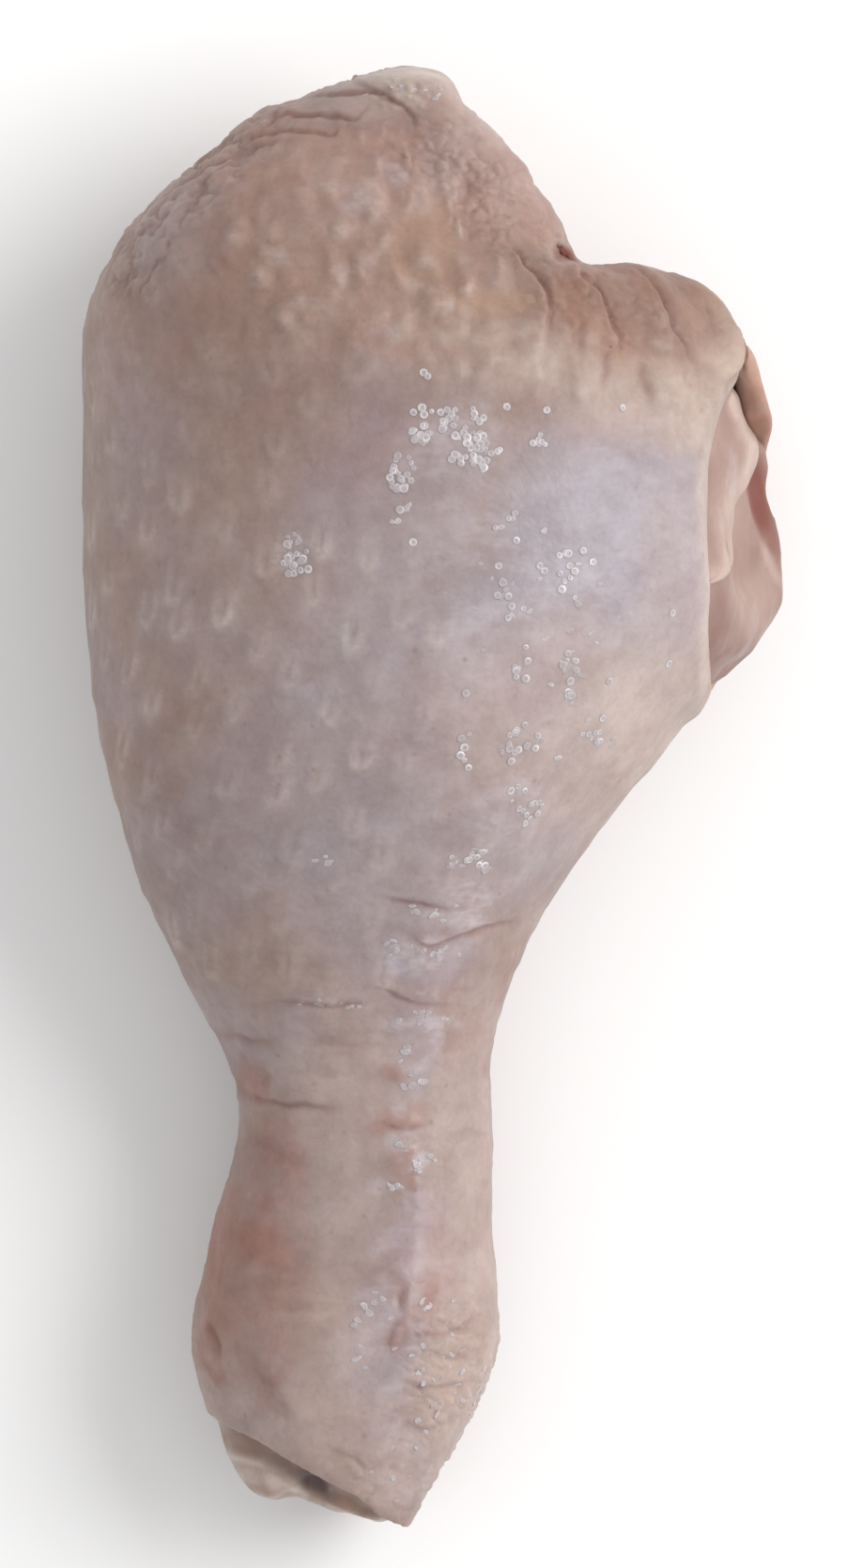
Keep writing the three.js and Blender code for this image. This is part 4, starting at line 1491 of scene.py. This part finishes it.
@dataclass
class CutMeat:
    """The flesh that shows in the cut beside the knee."""

    voxel: float = 0.5 * MM
    finish: MeatFinish = field(default_factory=MeatFinish)
    triangles: int = 40_000
    bulge: tuple[Pixel, ...] = (
        (0, 0), (440, 0), (470, 20), (500, 29), (530, 32), (560, 33), (600, 33), (635, 37), (650, 36), (680, 37),
        (700, 46), (722, 54), (745, 38), (780, 2),
    )
    deep: tuple[Patch, ...] = (
        # these two also stand in as painted shade at the cut's lower left
        Patch((766, 680), (16, 60), -6, 0.75, 1.2),
        Patch((800, 700), (60, 22), 50, 0.6, 1.2),
        Patch((800, 530), (26, 70), 0, 0.35, 1.2),
        Patch((800, 400), (30, 70), 0, 0.5),
    )
    red: tuple[Patch, ...] = (
        # blood red, also painted shade in the recess beside the skin's edge
        Patch((814, 530), (12, 44), 8, 0.9, 1.0),
        Patch((823, 570), (8, 34), 14, 0.5, 0.9),
        Patch((600, 275), (20, 16), 0, 1.0),
    )
    film_and_sheen: tuple[Patch, ...] = (
        Patch((822, 600), (6, 26), 26, 0.9, 0.8),
        Patch((804, 640), (26, 40), 0, 0.5, 1.2),
        Patch((790, 560), (10, 60), 0, 0.4, 1.0),
    )

    def _bulge(self, surface: Surface) -> None:
        """Draws the flesh's upper side out over the skin's lower lip, to the photo's outline."""
        right, down = surface.pixels().T
        rows, reach = np.array(self.bulge, float).T
        shift = np.interp(down, rows, reach) * smoothstep(756.0 - 0.35 * np.maximum(down - 620.0, 0.0), 806.0, right)
        upper = smoothstep(10.5 * MM, 14.0 * MM, surface.points[:, 2])
        surface.points[:, 0] += shift * upper * PHOTO.pitch()
        surface.write()
        surface.points = surface.blurred(surface.points, 8, 0.5 * smoothstep(740.0, 760.0, right))
        surface.write()

    def build(self) -> bpy.types.Object:
        """Sculpts and dresses the flesh.

        Returns:
            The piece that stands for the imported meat.
        """
        piece = remeshed_copy("meat", "cut_meat", self.voxel)
        surface = Surface(piece)
        pixels = surface.pixels()
        shown = smoothstep(640.0, 690.0, pixels[:, 0]) * smoothstep(380.0, 430.0, pixels[:, 1])
        surface.points = surface.blurred(surface.points, 70)
        surface.write()
        surface.push(-0.5 * MM * (1.0 - shown))
        surface.nudge()
        self._bulge(surface)
        pixels = surface.pixels()
        right, down = pixels.T
        fibres = np.stack([(right + 0.35 * down) / 9.0, (down - 0.35 * right) / 70.0, surface.points[:, 2] / (3 * MM)], -1)
        strands = layered_noise(fibres, 1.0, 81, 2)
        swell = layered_noise(surface.points, 5 * MM, 83, 2)
        recess = in_patches(pixels, (Patch((812, 528), (11, 42), 8, 1.0, 1.2),))
        surface.push(shown * MM * (0.14 * strands + 0.25 * swell - 0.8 * recess))
        surface.store("deep", np.clip(in_patches(pixels, self.deep) + 0.2 * strands, 0.0, 1.0))
        surface.store("red", in_patches(pixels, self.red))
        surface.store("film_and_sheen", np.maximum(in_patches(pixels, self.film_and_sheen), 0.4 * smoothstep(0.2, 0.8, swell)))
        surface.thin_out(1.0 - smoothstep(560.0, 640.0, right), self.triangles)
        self.finish.dress(piece)
        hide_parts("meat")
        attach(piece, BODY)
        return piece


@dataclass(frozen=True)
class JointFinish(Finish):
    """Moist cartilage, sinew and bone.

    Attributes:
        cartilage: The joint's surface.
        ridge: Its pale ridges and sinews.
        pit_shade: Painted shade in the pit between its knuckles and along the skin's cut edge.
        stain: Reddish-brown places; the one by the skin's cut edge is painted shade.
    """

    name: str = "cartilage"
    slot: str = "bone"
    coat: float = 0.35
    cartilage: Rgb = srgb(158, 135, 124)
    ridge: Rgb = srgb(190, 176, 167)
    pit_shade: Rgb = srgb(80, 58, 62)
    stain: Rgb = srgb(132, 104, 89)

    def colour(self, nodes: NodeTree, grain: bpy.types.Node) -> object:
        """Greyish beige with pale ridges and brown stains, and painted shade in the pit and along the skin's edge."""
        tone = nodes.lay(self.cartilage, self.ridge, nodes.attribute("ridge"))
        tone = nodes.lay(tone, self.stain, nodes.attribute("stain"))
        tone = nodes.lay(tone, self.pit_shade, nodes.attribute("pit_shade"))
        mottle = nodes.fit(grain.outputs["Mottle"], 0.3, 0.7, 0.0, 1.0)
        return nodes.lay(tone, nodes.lay((0.85, 0.82, 0.8), (1.1, 1.1, 1.1), mottle), 0.7, Blend.MULTIPLY)


@dataclass
class HockJoint:
    """The end of the shin bone with its cartilage, which the skin's cut edge leaves bare."""

    voxel: float = 0.4 * MM
    finish: JointFinish = field(default_factory=JointFinish)
    triangles: int = 30_000
    ridges: tuple[Crease, ...] = (
        Crease(((238, 1548), (262, 1552), (290, 1562), (312, 1570)), -0.35 * MM, 5.0),
        Crease(((262, 1578), (285, 1574), (305, 1580), (322, 1592)), -0.3 * MM, 4.5),
        Crease(((300, 1566), (318, 1582), (330, 1597)), -0.25 * MM, 4.0),
        Crease(((345, 1598), (370, 1606), (395, 1618)), -0.25 * MM, 5.0),
    )
    pale: tuple[Patch, ...] = (
        Patch((292, 1577), (14, 10), -20, 0.9, 1.2),
        Patch((262, 1574), (16, 8), 10, 0.6, 1.2),
    )
    stains: tuple[Patch, ...] = (
        # painted shade under the skin's cut edge
        Patch((258, 1538), (30, 13), -20, 0.9, 1.2),
        Patch((300, 1560), (24, 12), -25, 0.4),
        Patch((365, 1600), (30, 8), -25, 0.9),
        Patch((388, 1611), (20, 6), -25, 0.9),
    )

    def build(self) -> bpy.types.Object:
        """Sculpts and dresses the joint.

        Returns:
            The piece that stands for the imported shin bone.
        """
        piece = remeshed_copy("shin_bone", "hock_joint", self.voxel)
        surface = Surface(piece)
        surface.points = surface.blurred(surface.points, 12)
        pit = in_patches(surface.pixels(), (Patch((330, 1580), (34, 26), 0, 1.0),))
        surface.points = surface.blurred(surface.points, 160, 0.5 * pit)
        surface.points[:, 2] = np.maximum(surface.points[:, 2], 0.0)
        surface.nudge()
        pixels = surface.pixels()
        shown = smoothstep(1380.0, 1440.0, pixels[:, 1])
        height = 0.22 * MM * layered_noise(surface.points, 5 * MM, 91, 3)
        ridge = np.zeros(len(pixels))
        for line in self.ridges:
            signed, share = to_line(pixels, smooth_line(line.path))
            fade = smoothstep(0.0, 0.15, share) * smoothstep(1.0, 0.85, share)
            height -= line.depth * bell(signed, line.width) * fade
            ridge = np.maximum(ridge, bell(signed, line.width * 1.3) * fade)
        pit = in_patches(pixels, (Patch((334, 1578), (20, 11), -35, 1.0, 1.6),))
        surface.push(shown * (height - 0.5 * MM * pit) - 0.3 * MM * (1.0 - shown))
        surface.store("ridge", np.maximum(0.8 * ridge, in_patches(pixels, self.pale)))
        # painted shade in the pit and along the skin's cut edge
        surface.store("pit_shade", in_patches(pixels, (Patch((334, 1577), (22, 11), -35, 0.9, 1.4), Patch((306, 1562), (34, 9), -28, 0.35, 1.5))))
        surface.store("stain", in_patches(pixels, self.stains))
        surface.thin_out(1.0 - shown, self.triangles)
        self.finish.dress(piece)
        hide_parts("shin_bone")
        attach(piece, BODY)
        return piece


@dataclass(frozen=True)
class MembraneFinish(Finish):
    """A pale moist fold with cream fat in it.

    Attributes:
        web: The thin membrane.
        fat: The fat along its edges.
    """

    name: str = "membrane"
    slot: str = "membrane"
    coat: float = 0.35
    web: Rgb = srgb(154, 128, 120)
    fat: Rgb = srgb(186, 166, 157)

    def colour(self, nodes: NodeTree, grain: bpy.types.Node) -> object:
        """Pink web with paler, fatty edges."""
        tone = nodes.lay(self.web, self.fat, nodes.attribute("fat"))
        mottle = nodes.fit(grain.outputs["Mottle"], 0.3, 0.7, 0.0, 1.0)
        return nodes.lay(tone, nodes.lay((0.86, 0.8, 0.78), (1.1, 1.08, 1.06), mottle), 0.7, Blend.MULTIPLY)


@dataclass
class InnerFold:
    """The fold of membrane with a lump of fat that lies on the flesh in the cut.

    Attributes:
        columns: How many faces it has across.
        rows: How many it has along.
        inner: Its left edge under the skin's rim, in pixels from top to bottom.
        outer: Its free, fatty edge.
        lump: Where its lump of fat stands.
        wall: Its thickness.
    """

    columns: int = 28
    rows: int = 84
    inner: tuple[Pixel, ...] = ((770, 410), (760, 422), (754, 446), (742, 480), (742, 540), (742, 590), (742, 622))
    outer: tuple[Pixel, ...] = (
        (786, 410), (795, 424), (797, 442), (803, 456), (809, 472), (809, 490), (802, 508), (796, 521), (788, 531),
        (783, 542), (782, 556), (780, 570), (781, 584), (781, 598), (776, 611), (766, 620), (746, 628),
    )
    lump: Patch = Patch((784, 432), (11, 20), 8, 1.0, 1.1)
    wall: float = 0.5 * MM
    finish: MembraneFinish = field(default_factory=MembraneFinish)

    def build(self, meat: bpy.types.Object) -> bpy.types.Object:
        """Drapes the sheet over the flesh, thickens and dresses it.

        Args:
            meat: The sculpted flesh.

        Returns:
            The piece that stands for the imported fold.
        """
        bpy.ops.object.select_all(action="DESELECT")
        bpy.ops.mesh.primitive_grid_add(x_subdivisions=self.columns, y_subdivisions=self.rows, size=1.0)
        piece = bpy.context.active_object
        piece.name = "inner_membrane"
        surface = Surface(piece)
        across, along = surface.points[:, 0] + 0.5, 0.5 - surface.points[:, 1]
        edges = []
        for path in (self.inner, self.outer):
            line = smooth_line(path)
            edges.append(np.stack([np.interp(along, np.linspace(0.0, 1.0, len(line)), axis) for axis in line.T], -1))
        pixels = edges[0] + (edges[1] - edges[0]) * across[:, None]
        surface.points[:, :2] = PHOTO.place(pixels)
        surface.points[:, 2] = self._flesh_under(surface.points, meat)
        surface.points[:, 2] = surface.blurred(surface.points[:, 2], 24)
        free = bell(across - 0.8, 0.16)
        lie = np.stack([pixels[:, 0] / 9.0, pixels[:, 1] / 24.0, np.zeros(len(pixels))], -1)
        lump = self.lump.mask(pixels)
        rise = 0.5 * MM + 0.6 * MM * free + 0.25 * MM * layered_noise(lie, 1.0, 95, 2) + 1.5 * MM * lump
        surface.points[:, 2] += rise - 0.8 * MM * smoothstep(0.93, 1.0, across)
        surface.write()
        apply_modifier(piece, "SOLIDIFY", thickness=self.wall, offset=-1.0)
        apply_modifier(piece, "SUBSURF", levels=1, render_levels=1)
        surface = Surface(piece)
        pixels = surface.pixels()
        signed, _ = to_line(pixels, smooth_line(self.outer))
        rim = smoothstep(26.0, 6.0, np.abs(signed)) * (0.9 + 0.4 * noise(surface.points, 2.5 * MM, 97))
        surface.store("fat", np.clip(np.maximum(0.9 * rim, self.lump.mask(pixels)), 0.0, 1.0))
        only(piece)
        bpy.ops.object.shade_smooth()
        self.finish.dress(piece)
        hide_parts("inner_fold")
        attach(piece, BODY)
        return piece

    def _flesh_under(self, points: Array, meat: bpy.types.Object) -> Array:
        """The height of the flesh under each point.

        Args:
            points: Rows of x, y and z.
            meat: The sculpted flesh.

        Returns:
            One height for each row.
        """
        mesh = meat.data
        tree = BVHTree.FromPolygons([v.co for v in mesh.vertices], [f.vertices[:] for f in mesh.polygons])
        heights = np.zeros(len(points))
        for index, (x, y, _) in enumerate(points):
            place, _, _, _ = tree.ray_cast(Vector((x, y, 0.2)), Vector((0.0, 0.0, -1.0)))
            heights[index] = 14.0 * MM if place is None else max(place.z, 14.0 * MM)
        return heights


@dataclass(frozen=True)
class WaterFinish:
    """Partly clear water with a skin-coloured middle and a painted highlight ring."""

    name: str = "water"
    slot: str = "skin"

    def dress(self, piece: bpy.types.Object) -> None:
        """Gives a piece smooth, partly clear water with a faint, uneven cloudiness and a painted highlight ring."""
        material = bpy.data.materials.new(self.name)
        material.use_nodes = True
        nodes = NodeTree(material.node_tree)
        place = nodes.add("TexCoord").outputs["Object"]
        cloud = nodes.add("TexNoise", {"Vector": place, "Scale": 900.0, "Detail": 1.0})
        clear = nodes.lay((0.4, 0.34, 0.345), (0.5, 0.44, 0.45), cloud.outputs[0])
        # painted highlight: the pale ring where the mesh keeps one
        tone = nodes.lay(clear, (0.92, 0.9, 0.93), nodes.attribute("ring"))
        shader = nodes.add("BsdfPrincipled", {"Base Color": tone, "Roughness": 0.25, "IOR": 1.33})
        shader.inputs["Coat Weight"].default_value = 0.3
        shader.inputs["Transmission Weight"].default_value = 0.2
        out = nodes.add("OutputMaterial")
        nodes.feed(out.inputs["Surface"], shader.outputs[0])
        piece.data.materials.append(material)


@dataclass
class Moisture:
    """Beads and flat smears of water on the skin.

    Attributes:
        radius: The beads' smallest and largest radius.
        sides: How many sides a bead has.
        seed: Chooses their places.
        clusters: Where they stand close together, and how many of them.
        smears: The same for small drops that are drawn out and flat.
        singles: Lone beads, in pixels.
    """

    radius: tuple[float, float] = (0.24 * MM, 0.46 * MM)
    sides: int = 10
    seed: int = 7
    finish: WaterFinish = field(default_factory=WaterFinish)
    clusters: tuple[tuple[Patch, int], ...] = (
        (Patch((482, 450), (44, 12), -8), 20),
        (Patch((446, 471), (14, 13), 0), 20),
        (Patch((500, 474), (34, 10), -25), 26),
        (Patch((504, 497), (28, 9), -15), 16),
        (Patch((428, 508), (14, 18), 0), 16),
        (Patch((424, 524), (10, 7), 0), 7),
        (Patch((566, 476), (18, 8), 0), 5),
        (Patch((318, 598), (16, 20), 0), 22),
        (Patch((535, 562), (16, 20), 30), 7),
        (Patch((606, 616), (40, 30), 0), 14),
        (Patch((540, 640), (16, 44), 20), 9),
        (Patch((604, 712), (8, 34), 0), 12),
        (Patch((552, 706), (9, 30), 0), 8),
        (Patch((548, 792), (26, 22), 0), 14),
        (Patch((632, 776), (14, 22), 0), 7),
        (Patch((494, 800), (8, 26), 0), 6),
        (Patch((556, 862), (22, 26), 0), 16),
        (Patch((510, 912), (30, 14), 0), 10),
    )
    smears: tuple[tuple[Patch, int], ...] = (
        (Patch((500, 474), (36, 8), -25), 12),
        (Patch((425, 548), (14, 16), 0), 6),
        (Patch((318, 590), (14, 26), 0), 8),
        (Patch((585, 660), (80, 110), 30), 22),
        (Patch((610, 770), (40, 60), 20), 10),
        (Patch((505, 915), (34, 16), 10), 14),
        (Patch((455, 970), (36, 12), 0), 8),
        (Patch((449, 1012), (44, 16), 0), 18),
        (Patch((450, 1086), (34, 10), 0), 12),
        (Patch((438, 1140), (16, 30), 0), 10),
        (Patch((424, 1219), (12, 10), 0), 5),
        (Patch((449, 1238), (9, 9), 0), 9),
        (Patch((460, 1233), (6, 3), 0), 3),
        (Patch((415, 1262), (22, 3), 5), 7),
        (Patch((345, 1068), (50, 5), 0), 9),
        (Patch((395, 1420), (26, 60), 0), 12),
        (Patch((478, 1440), (40, 80), 10), 34),
        (Patch((440, 1560), (50, 50), -40), 16),
        (Patch((425, 100), (46, 18), 0), 12),
        (Patch((340, 915), (24, 5), 0), 4),
    )
    singles: tuple[Pixel, ...] = (
        (538, 440), (565, 478), (710, 708), (660, 440), (495, 740), (440, 582), (548, 580), (713, 655),
        (603, 742), (646, 727), (498, 818), (637, 790), (451, 404), (426, 548), (455, 408), (580, 443),
    )

    def build(self, skin: bpy.types.Object) -> bpy.types.Object:
        """Sets the beads on the skin.

        Args:
            skin: The sculpted skin.

        Returns:
            One piece with all the beads.
        """
        mesh = skin.data
        tree = BVHTree.FromPolygons([v.co for v in mesh.vertices], [f.vertices[:] for f in mesh.polygons])
        chance = random.Random(self.seed)
        drops = [(*pixel, chance.uniform(0.6, 1.0), 1.0) for pixel in self.singles]
        for patch, count in self.clusters:
            drops.extend((*self._within(patch, chance), chance.random(), 1.0) for _ in range(count))
        for patch, count in self.smears:
            drops.extend((*self._within(patch, chance), 0.8 * chance.random() ** 2 - 0.3, chance.uniform(1.1, 2.0)) for _ in range(count))
        vertices, faces, rings = [], [], []
        for right, down, size, stretch in drops:
            x, y = PHOTO.place([(right, down)])[0]
            place, normal, _, _ = tree.ray_cast(Vector((x, y, 0.2)), Vector((0.0, 0.0, -1.0)))
            if place is not None:
                low, high = self.radius
                self._bead(vertices, faces, place, normal, low + (high - low) * size, stretch)
                # painted highlight: a ring brightest on one side, faint on most beads
                strength, lit = chance.random(), chance.uniform(0.0, 2 * math.pi)
                strength = strength if stretch == 1.0 else 0.6 * strength ** 2
                glint_arc = [0.4 + 0.6 * max(0.0, math.cos(2 * math.pi * side / self.sides - lit)) for side in range(self.sides)]
                for share in (0.3, 1.0, 1.0, 0.15):
                    rings.extend(share * (0.15 + 0.85 * strength) * part for part in glint_arc)
                rings.append(0.0 if stretch == 1.0 else 0.7 * strength)
        data = bpy.data.meshes.new("moisture")
        data.from_pydata(vertices, [], faces)
        piece = bpy.data.objects.new("moisture", data)
        bpy.context.scene.collection.objects.link(piece)
        only(piece)
        bpy.ops.object.shade_smooth()
        data.attributes.new("ring", "FLOAT", "POINT").data.foreach_set("value", rings)
        self.finish.dress(piece)
        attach(piece, BODY)
        return piece

    def _within(self, patch: Patch, chance: random.Random) -> Pixel:
        """Picks a pixel in a patch."""
        turn = math.radians(patch.turn)
        off, angle = chance.random() ** 0.6, chance.uniform(0.0, 2 * math.pi)
        across, along = off * math.cos(angle) * patch.radii[0], off * math.sin(angle) * patch.radii[1]
        right = patch.centre[0] + across * math.cos(turn) + along * math.sin(turn)
        down = patch.centre[1] - across * math.sin(turn) + along * math.cos(turn)
        return right, down

    def _bead(
        self, vertices: list, faces: list, place: Vector, normal: Vector, radius: float, stretch: float
    ) -> None:
        """Adds one closed bead with a flat foot and a shallow dimple in its top.

        Args:
            vertices: Takes its points.
            faces: Takes its faces.
            place: Where it sits on the skin.
            normal: The skin's direction there.
            radius: Its radius.
            stretch: How much longer it is than wide.
        """
        tilt = 0.7 * math.sin(7919.0 * place.x / MM)
        across = Vector((math.cos(tilt), math.sin(tilt), 0.0)).cross(normal).normalized()
        along = normal.cross(across) * stretch
        flat = 1.0 if stretch == 1.0 else 0.3
        ragged = 0.0 if stretch == 1.0 else 0.22
        phase = 997.0 * place.y / MM
        rings = ((0.85, -0.2), (1.0, 0.05 * flat), (0.78, 0.2 * flat), (0.42, 0.1 * flat))
        first = len(vertices)
        for ring_radius, height in rings:
            for side in range(self.sides):
                angle = 2 * math.pi * side / self.sides
                off = across * math.cos(angle) + along * math.sin(angle)
                off *= 1.0 + ragged * (math.sin(2.0 * angle + phase) + 0.6 * math.sin(3.0 * angle + 2.0 * phase))
                vertices.append(place + off * radius * ring_radius + normal * radius * height)
        for ring in range(len(rings) - 1):
            for side in range(self.sides):
                low, high = first + ring * self.sides, first + (ring + 1) * self.sides
                after = (side + 1) % self.sides
                faces.append((low + side, low + after, high + after, high + side))
        faces.append(tuple(first + side for side in reversed(range(self.sides))))
        top = first + (len(rings) - 1) * self.sides
        vertices.append(place + normal * radius * 0.06 * flat)
        faces.extend((top + side, top + (side + 1) % self.sides, len(vertices) - 1) for side in range(self.sides))


@dataclass
class Studio:
    """A pale table, a pale surround and a large soft lamp, seen by a camera straight above.

    Attributes:
        camera_height: How high the camera hangs.
        focus_height: The height at which the photo's outline is matched.
        sensor: The camera's sensor along the photo's long side, in millimetres.
        table: The table's colour.
        surround: The brightness of the surround.
        lamp_place: Where the lamp hangs.
        lamp_size: Its width.
        lamp_power: Its power in watts.
        lamp_colour: Its colour.
    """

    camera_height: float = 1.4
    focus_height: float = 0.02
    sensor: float = 36.0
    table: Rgb = (0.9, 0.9, 0.9)
    surround: float = 0.78
    lamp_place: tuple[float, float, float] = (0.62, 0.22, 0.6)
    lamp_size: float = 0.6
    lamp_power: float = 6.0
    lamp_colour: Rgb = (1.0, 0.985, 0.975)

    def build(self) -> None:
        """Sets up the table, the light and the camera."""
        self._table()
        self._light()
        self._camera()
        bpy.context.scene.view_settings.view_transform = "Standard"

    def _table(self) -> None:
        """Lays a wide, plain table under the leg."""
        bpy.ops.object.select_all(action="DESELECT")
        bpy.ops.mesh.primitive_plane_add(size=8.0)
        table = bpy.context.active_object
        table.name = "table"
        material = bpy.data.materials.new("table")
        material.use_nodes = True
        shader = material.node_tree.nodes["Principled BSDF"]
        shader.inputs["Base Color"].default_value = (*self.table, 1.0)
        shader.inputs["Roughness"].default_value = 0.9
        shader.inputs["Specular IOR Level"].default_value = 0.0
        table.data.materials.append(material)

    def _light(self) -> None:
        """Lights the leg from all round, and more from the photo's right."""
        world = bpy.data.worlds.new("surround")
        world.use_nodes = True
        world.node_tree.nodes["Background"].inputs["Color"].default_value = (1.0, 1.0, 1.0, 1.0)
        world.node_tree.nodes["Background"].inputs["Strength"].default_value = self.surround
        bpy.context.scene.world = world
        light = bpy.data.lights.new("window", "AREA")
        light.shape = "SQUARE"
        light.size = self.lamp_size
        light.energy = self.lamp_power
        light.color = self.lamp_colour
        lamp = bpy.data.objects.new("window", light)
        lamp.location = self.lamp_place
        lamp.rotation_euler = (-Vector(self.lamp_place)).to_track_quat("-Z", "Y").to_euler()
        bpy.context.scene.collection.objects.link(lamp)

    def _camera(self) -> None:
        """Hangs the camera over the middle of the photo, with its top towards the knee."""
        width, height = PHOTO.size
        across, along = PHOTO.place([(width / 2, height / 2)])[0]
        data = bpy.data.cameras.new("camera")
        data.sensor_width = self.sensor
        distance = self.camera_height - self.focus_height
        data.lens = self.sensor * distance / (height * PHOTO.pitch())
        data.clip_start, data.clip_end = 0.01, 10.0
        camera = bpy.data.objects.new("camera", data)
        camera.location = (across, along, self.camera_height)
        bpy.context.scene.collection.objects.link(camera)
        bpy.context.scene.camera = camera


def report(piece: bpy.types.Object) -> None:
    """Logs a piece's size and how many faces it has."""
    low, high = np.array([corner[:] for corner in piece.bound_box])[[0, 6]]
    size = " x ".join(f"{side / MM:.1f}" for side in high - low)
    triangles = sum(len(face.vertices) - 2 for face in piece.data.polygons)
    LOG.info("%s: %s mm, %d triangles", piece.name, size, triangles)


def main() -> None:
    """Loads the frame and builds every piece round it."""
    logging.basicConfig(level=logging.INFO, format="%(message)s", force=True)
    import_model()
    Studio().build()
    skin = Skin().build()
    report(skin)
    meat = CutMeat().build()
    report(meat)
    report(HockJoint().build())
    report(InnerFold().build(meat))
    report(Moisture().build(skin))


if __name__ == "__main__":
    main()
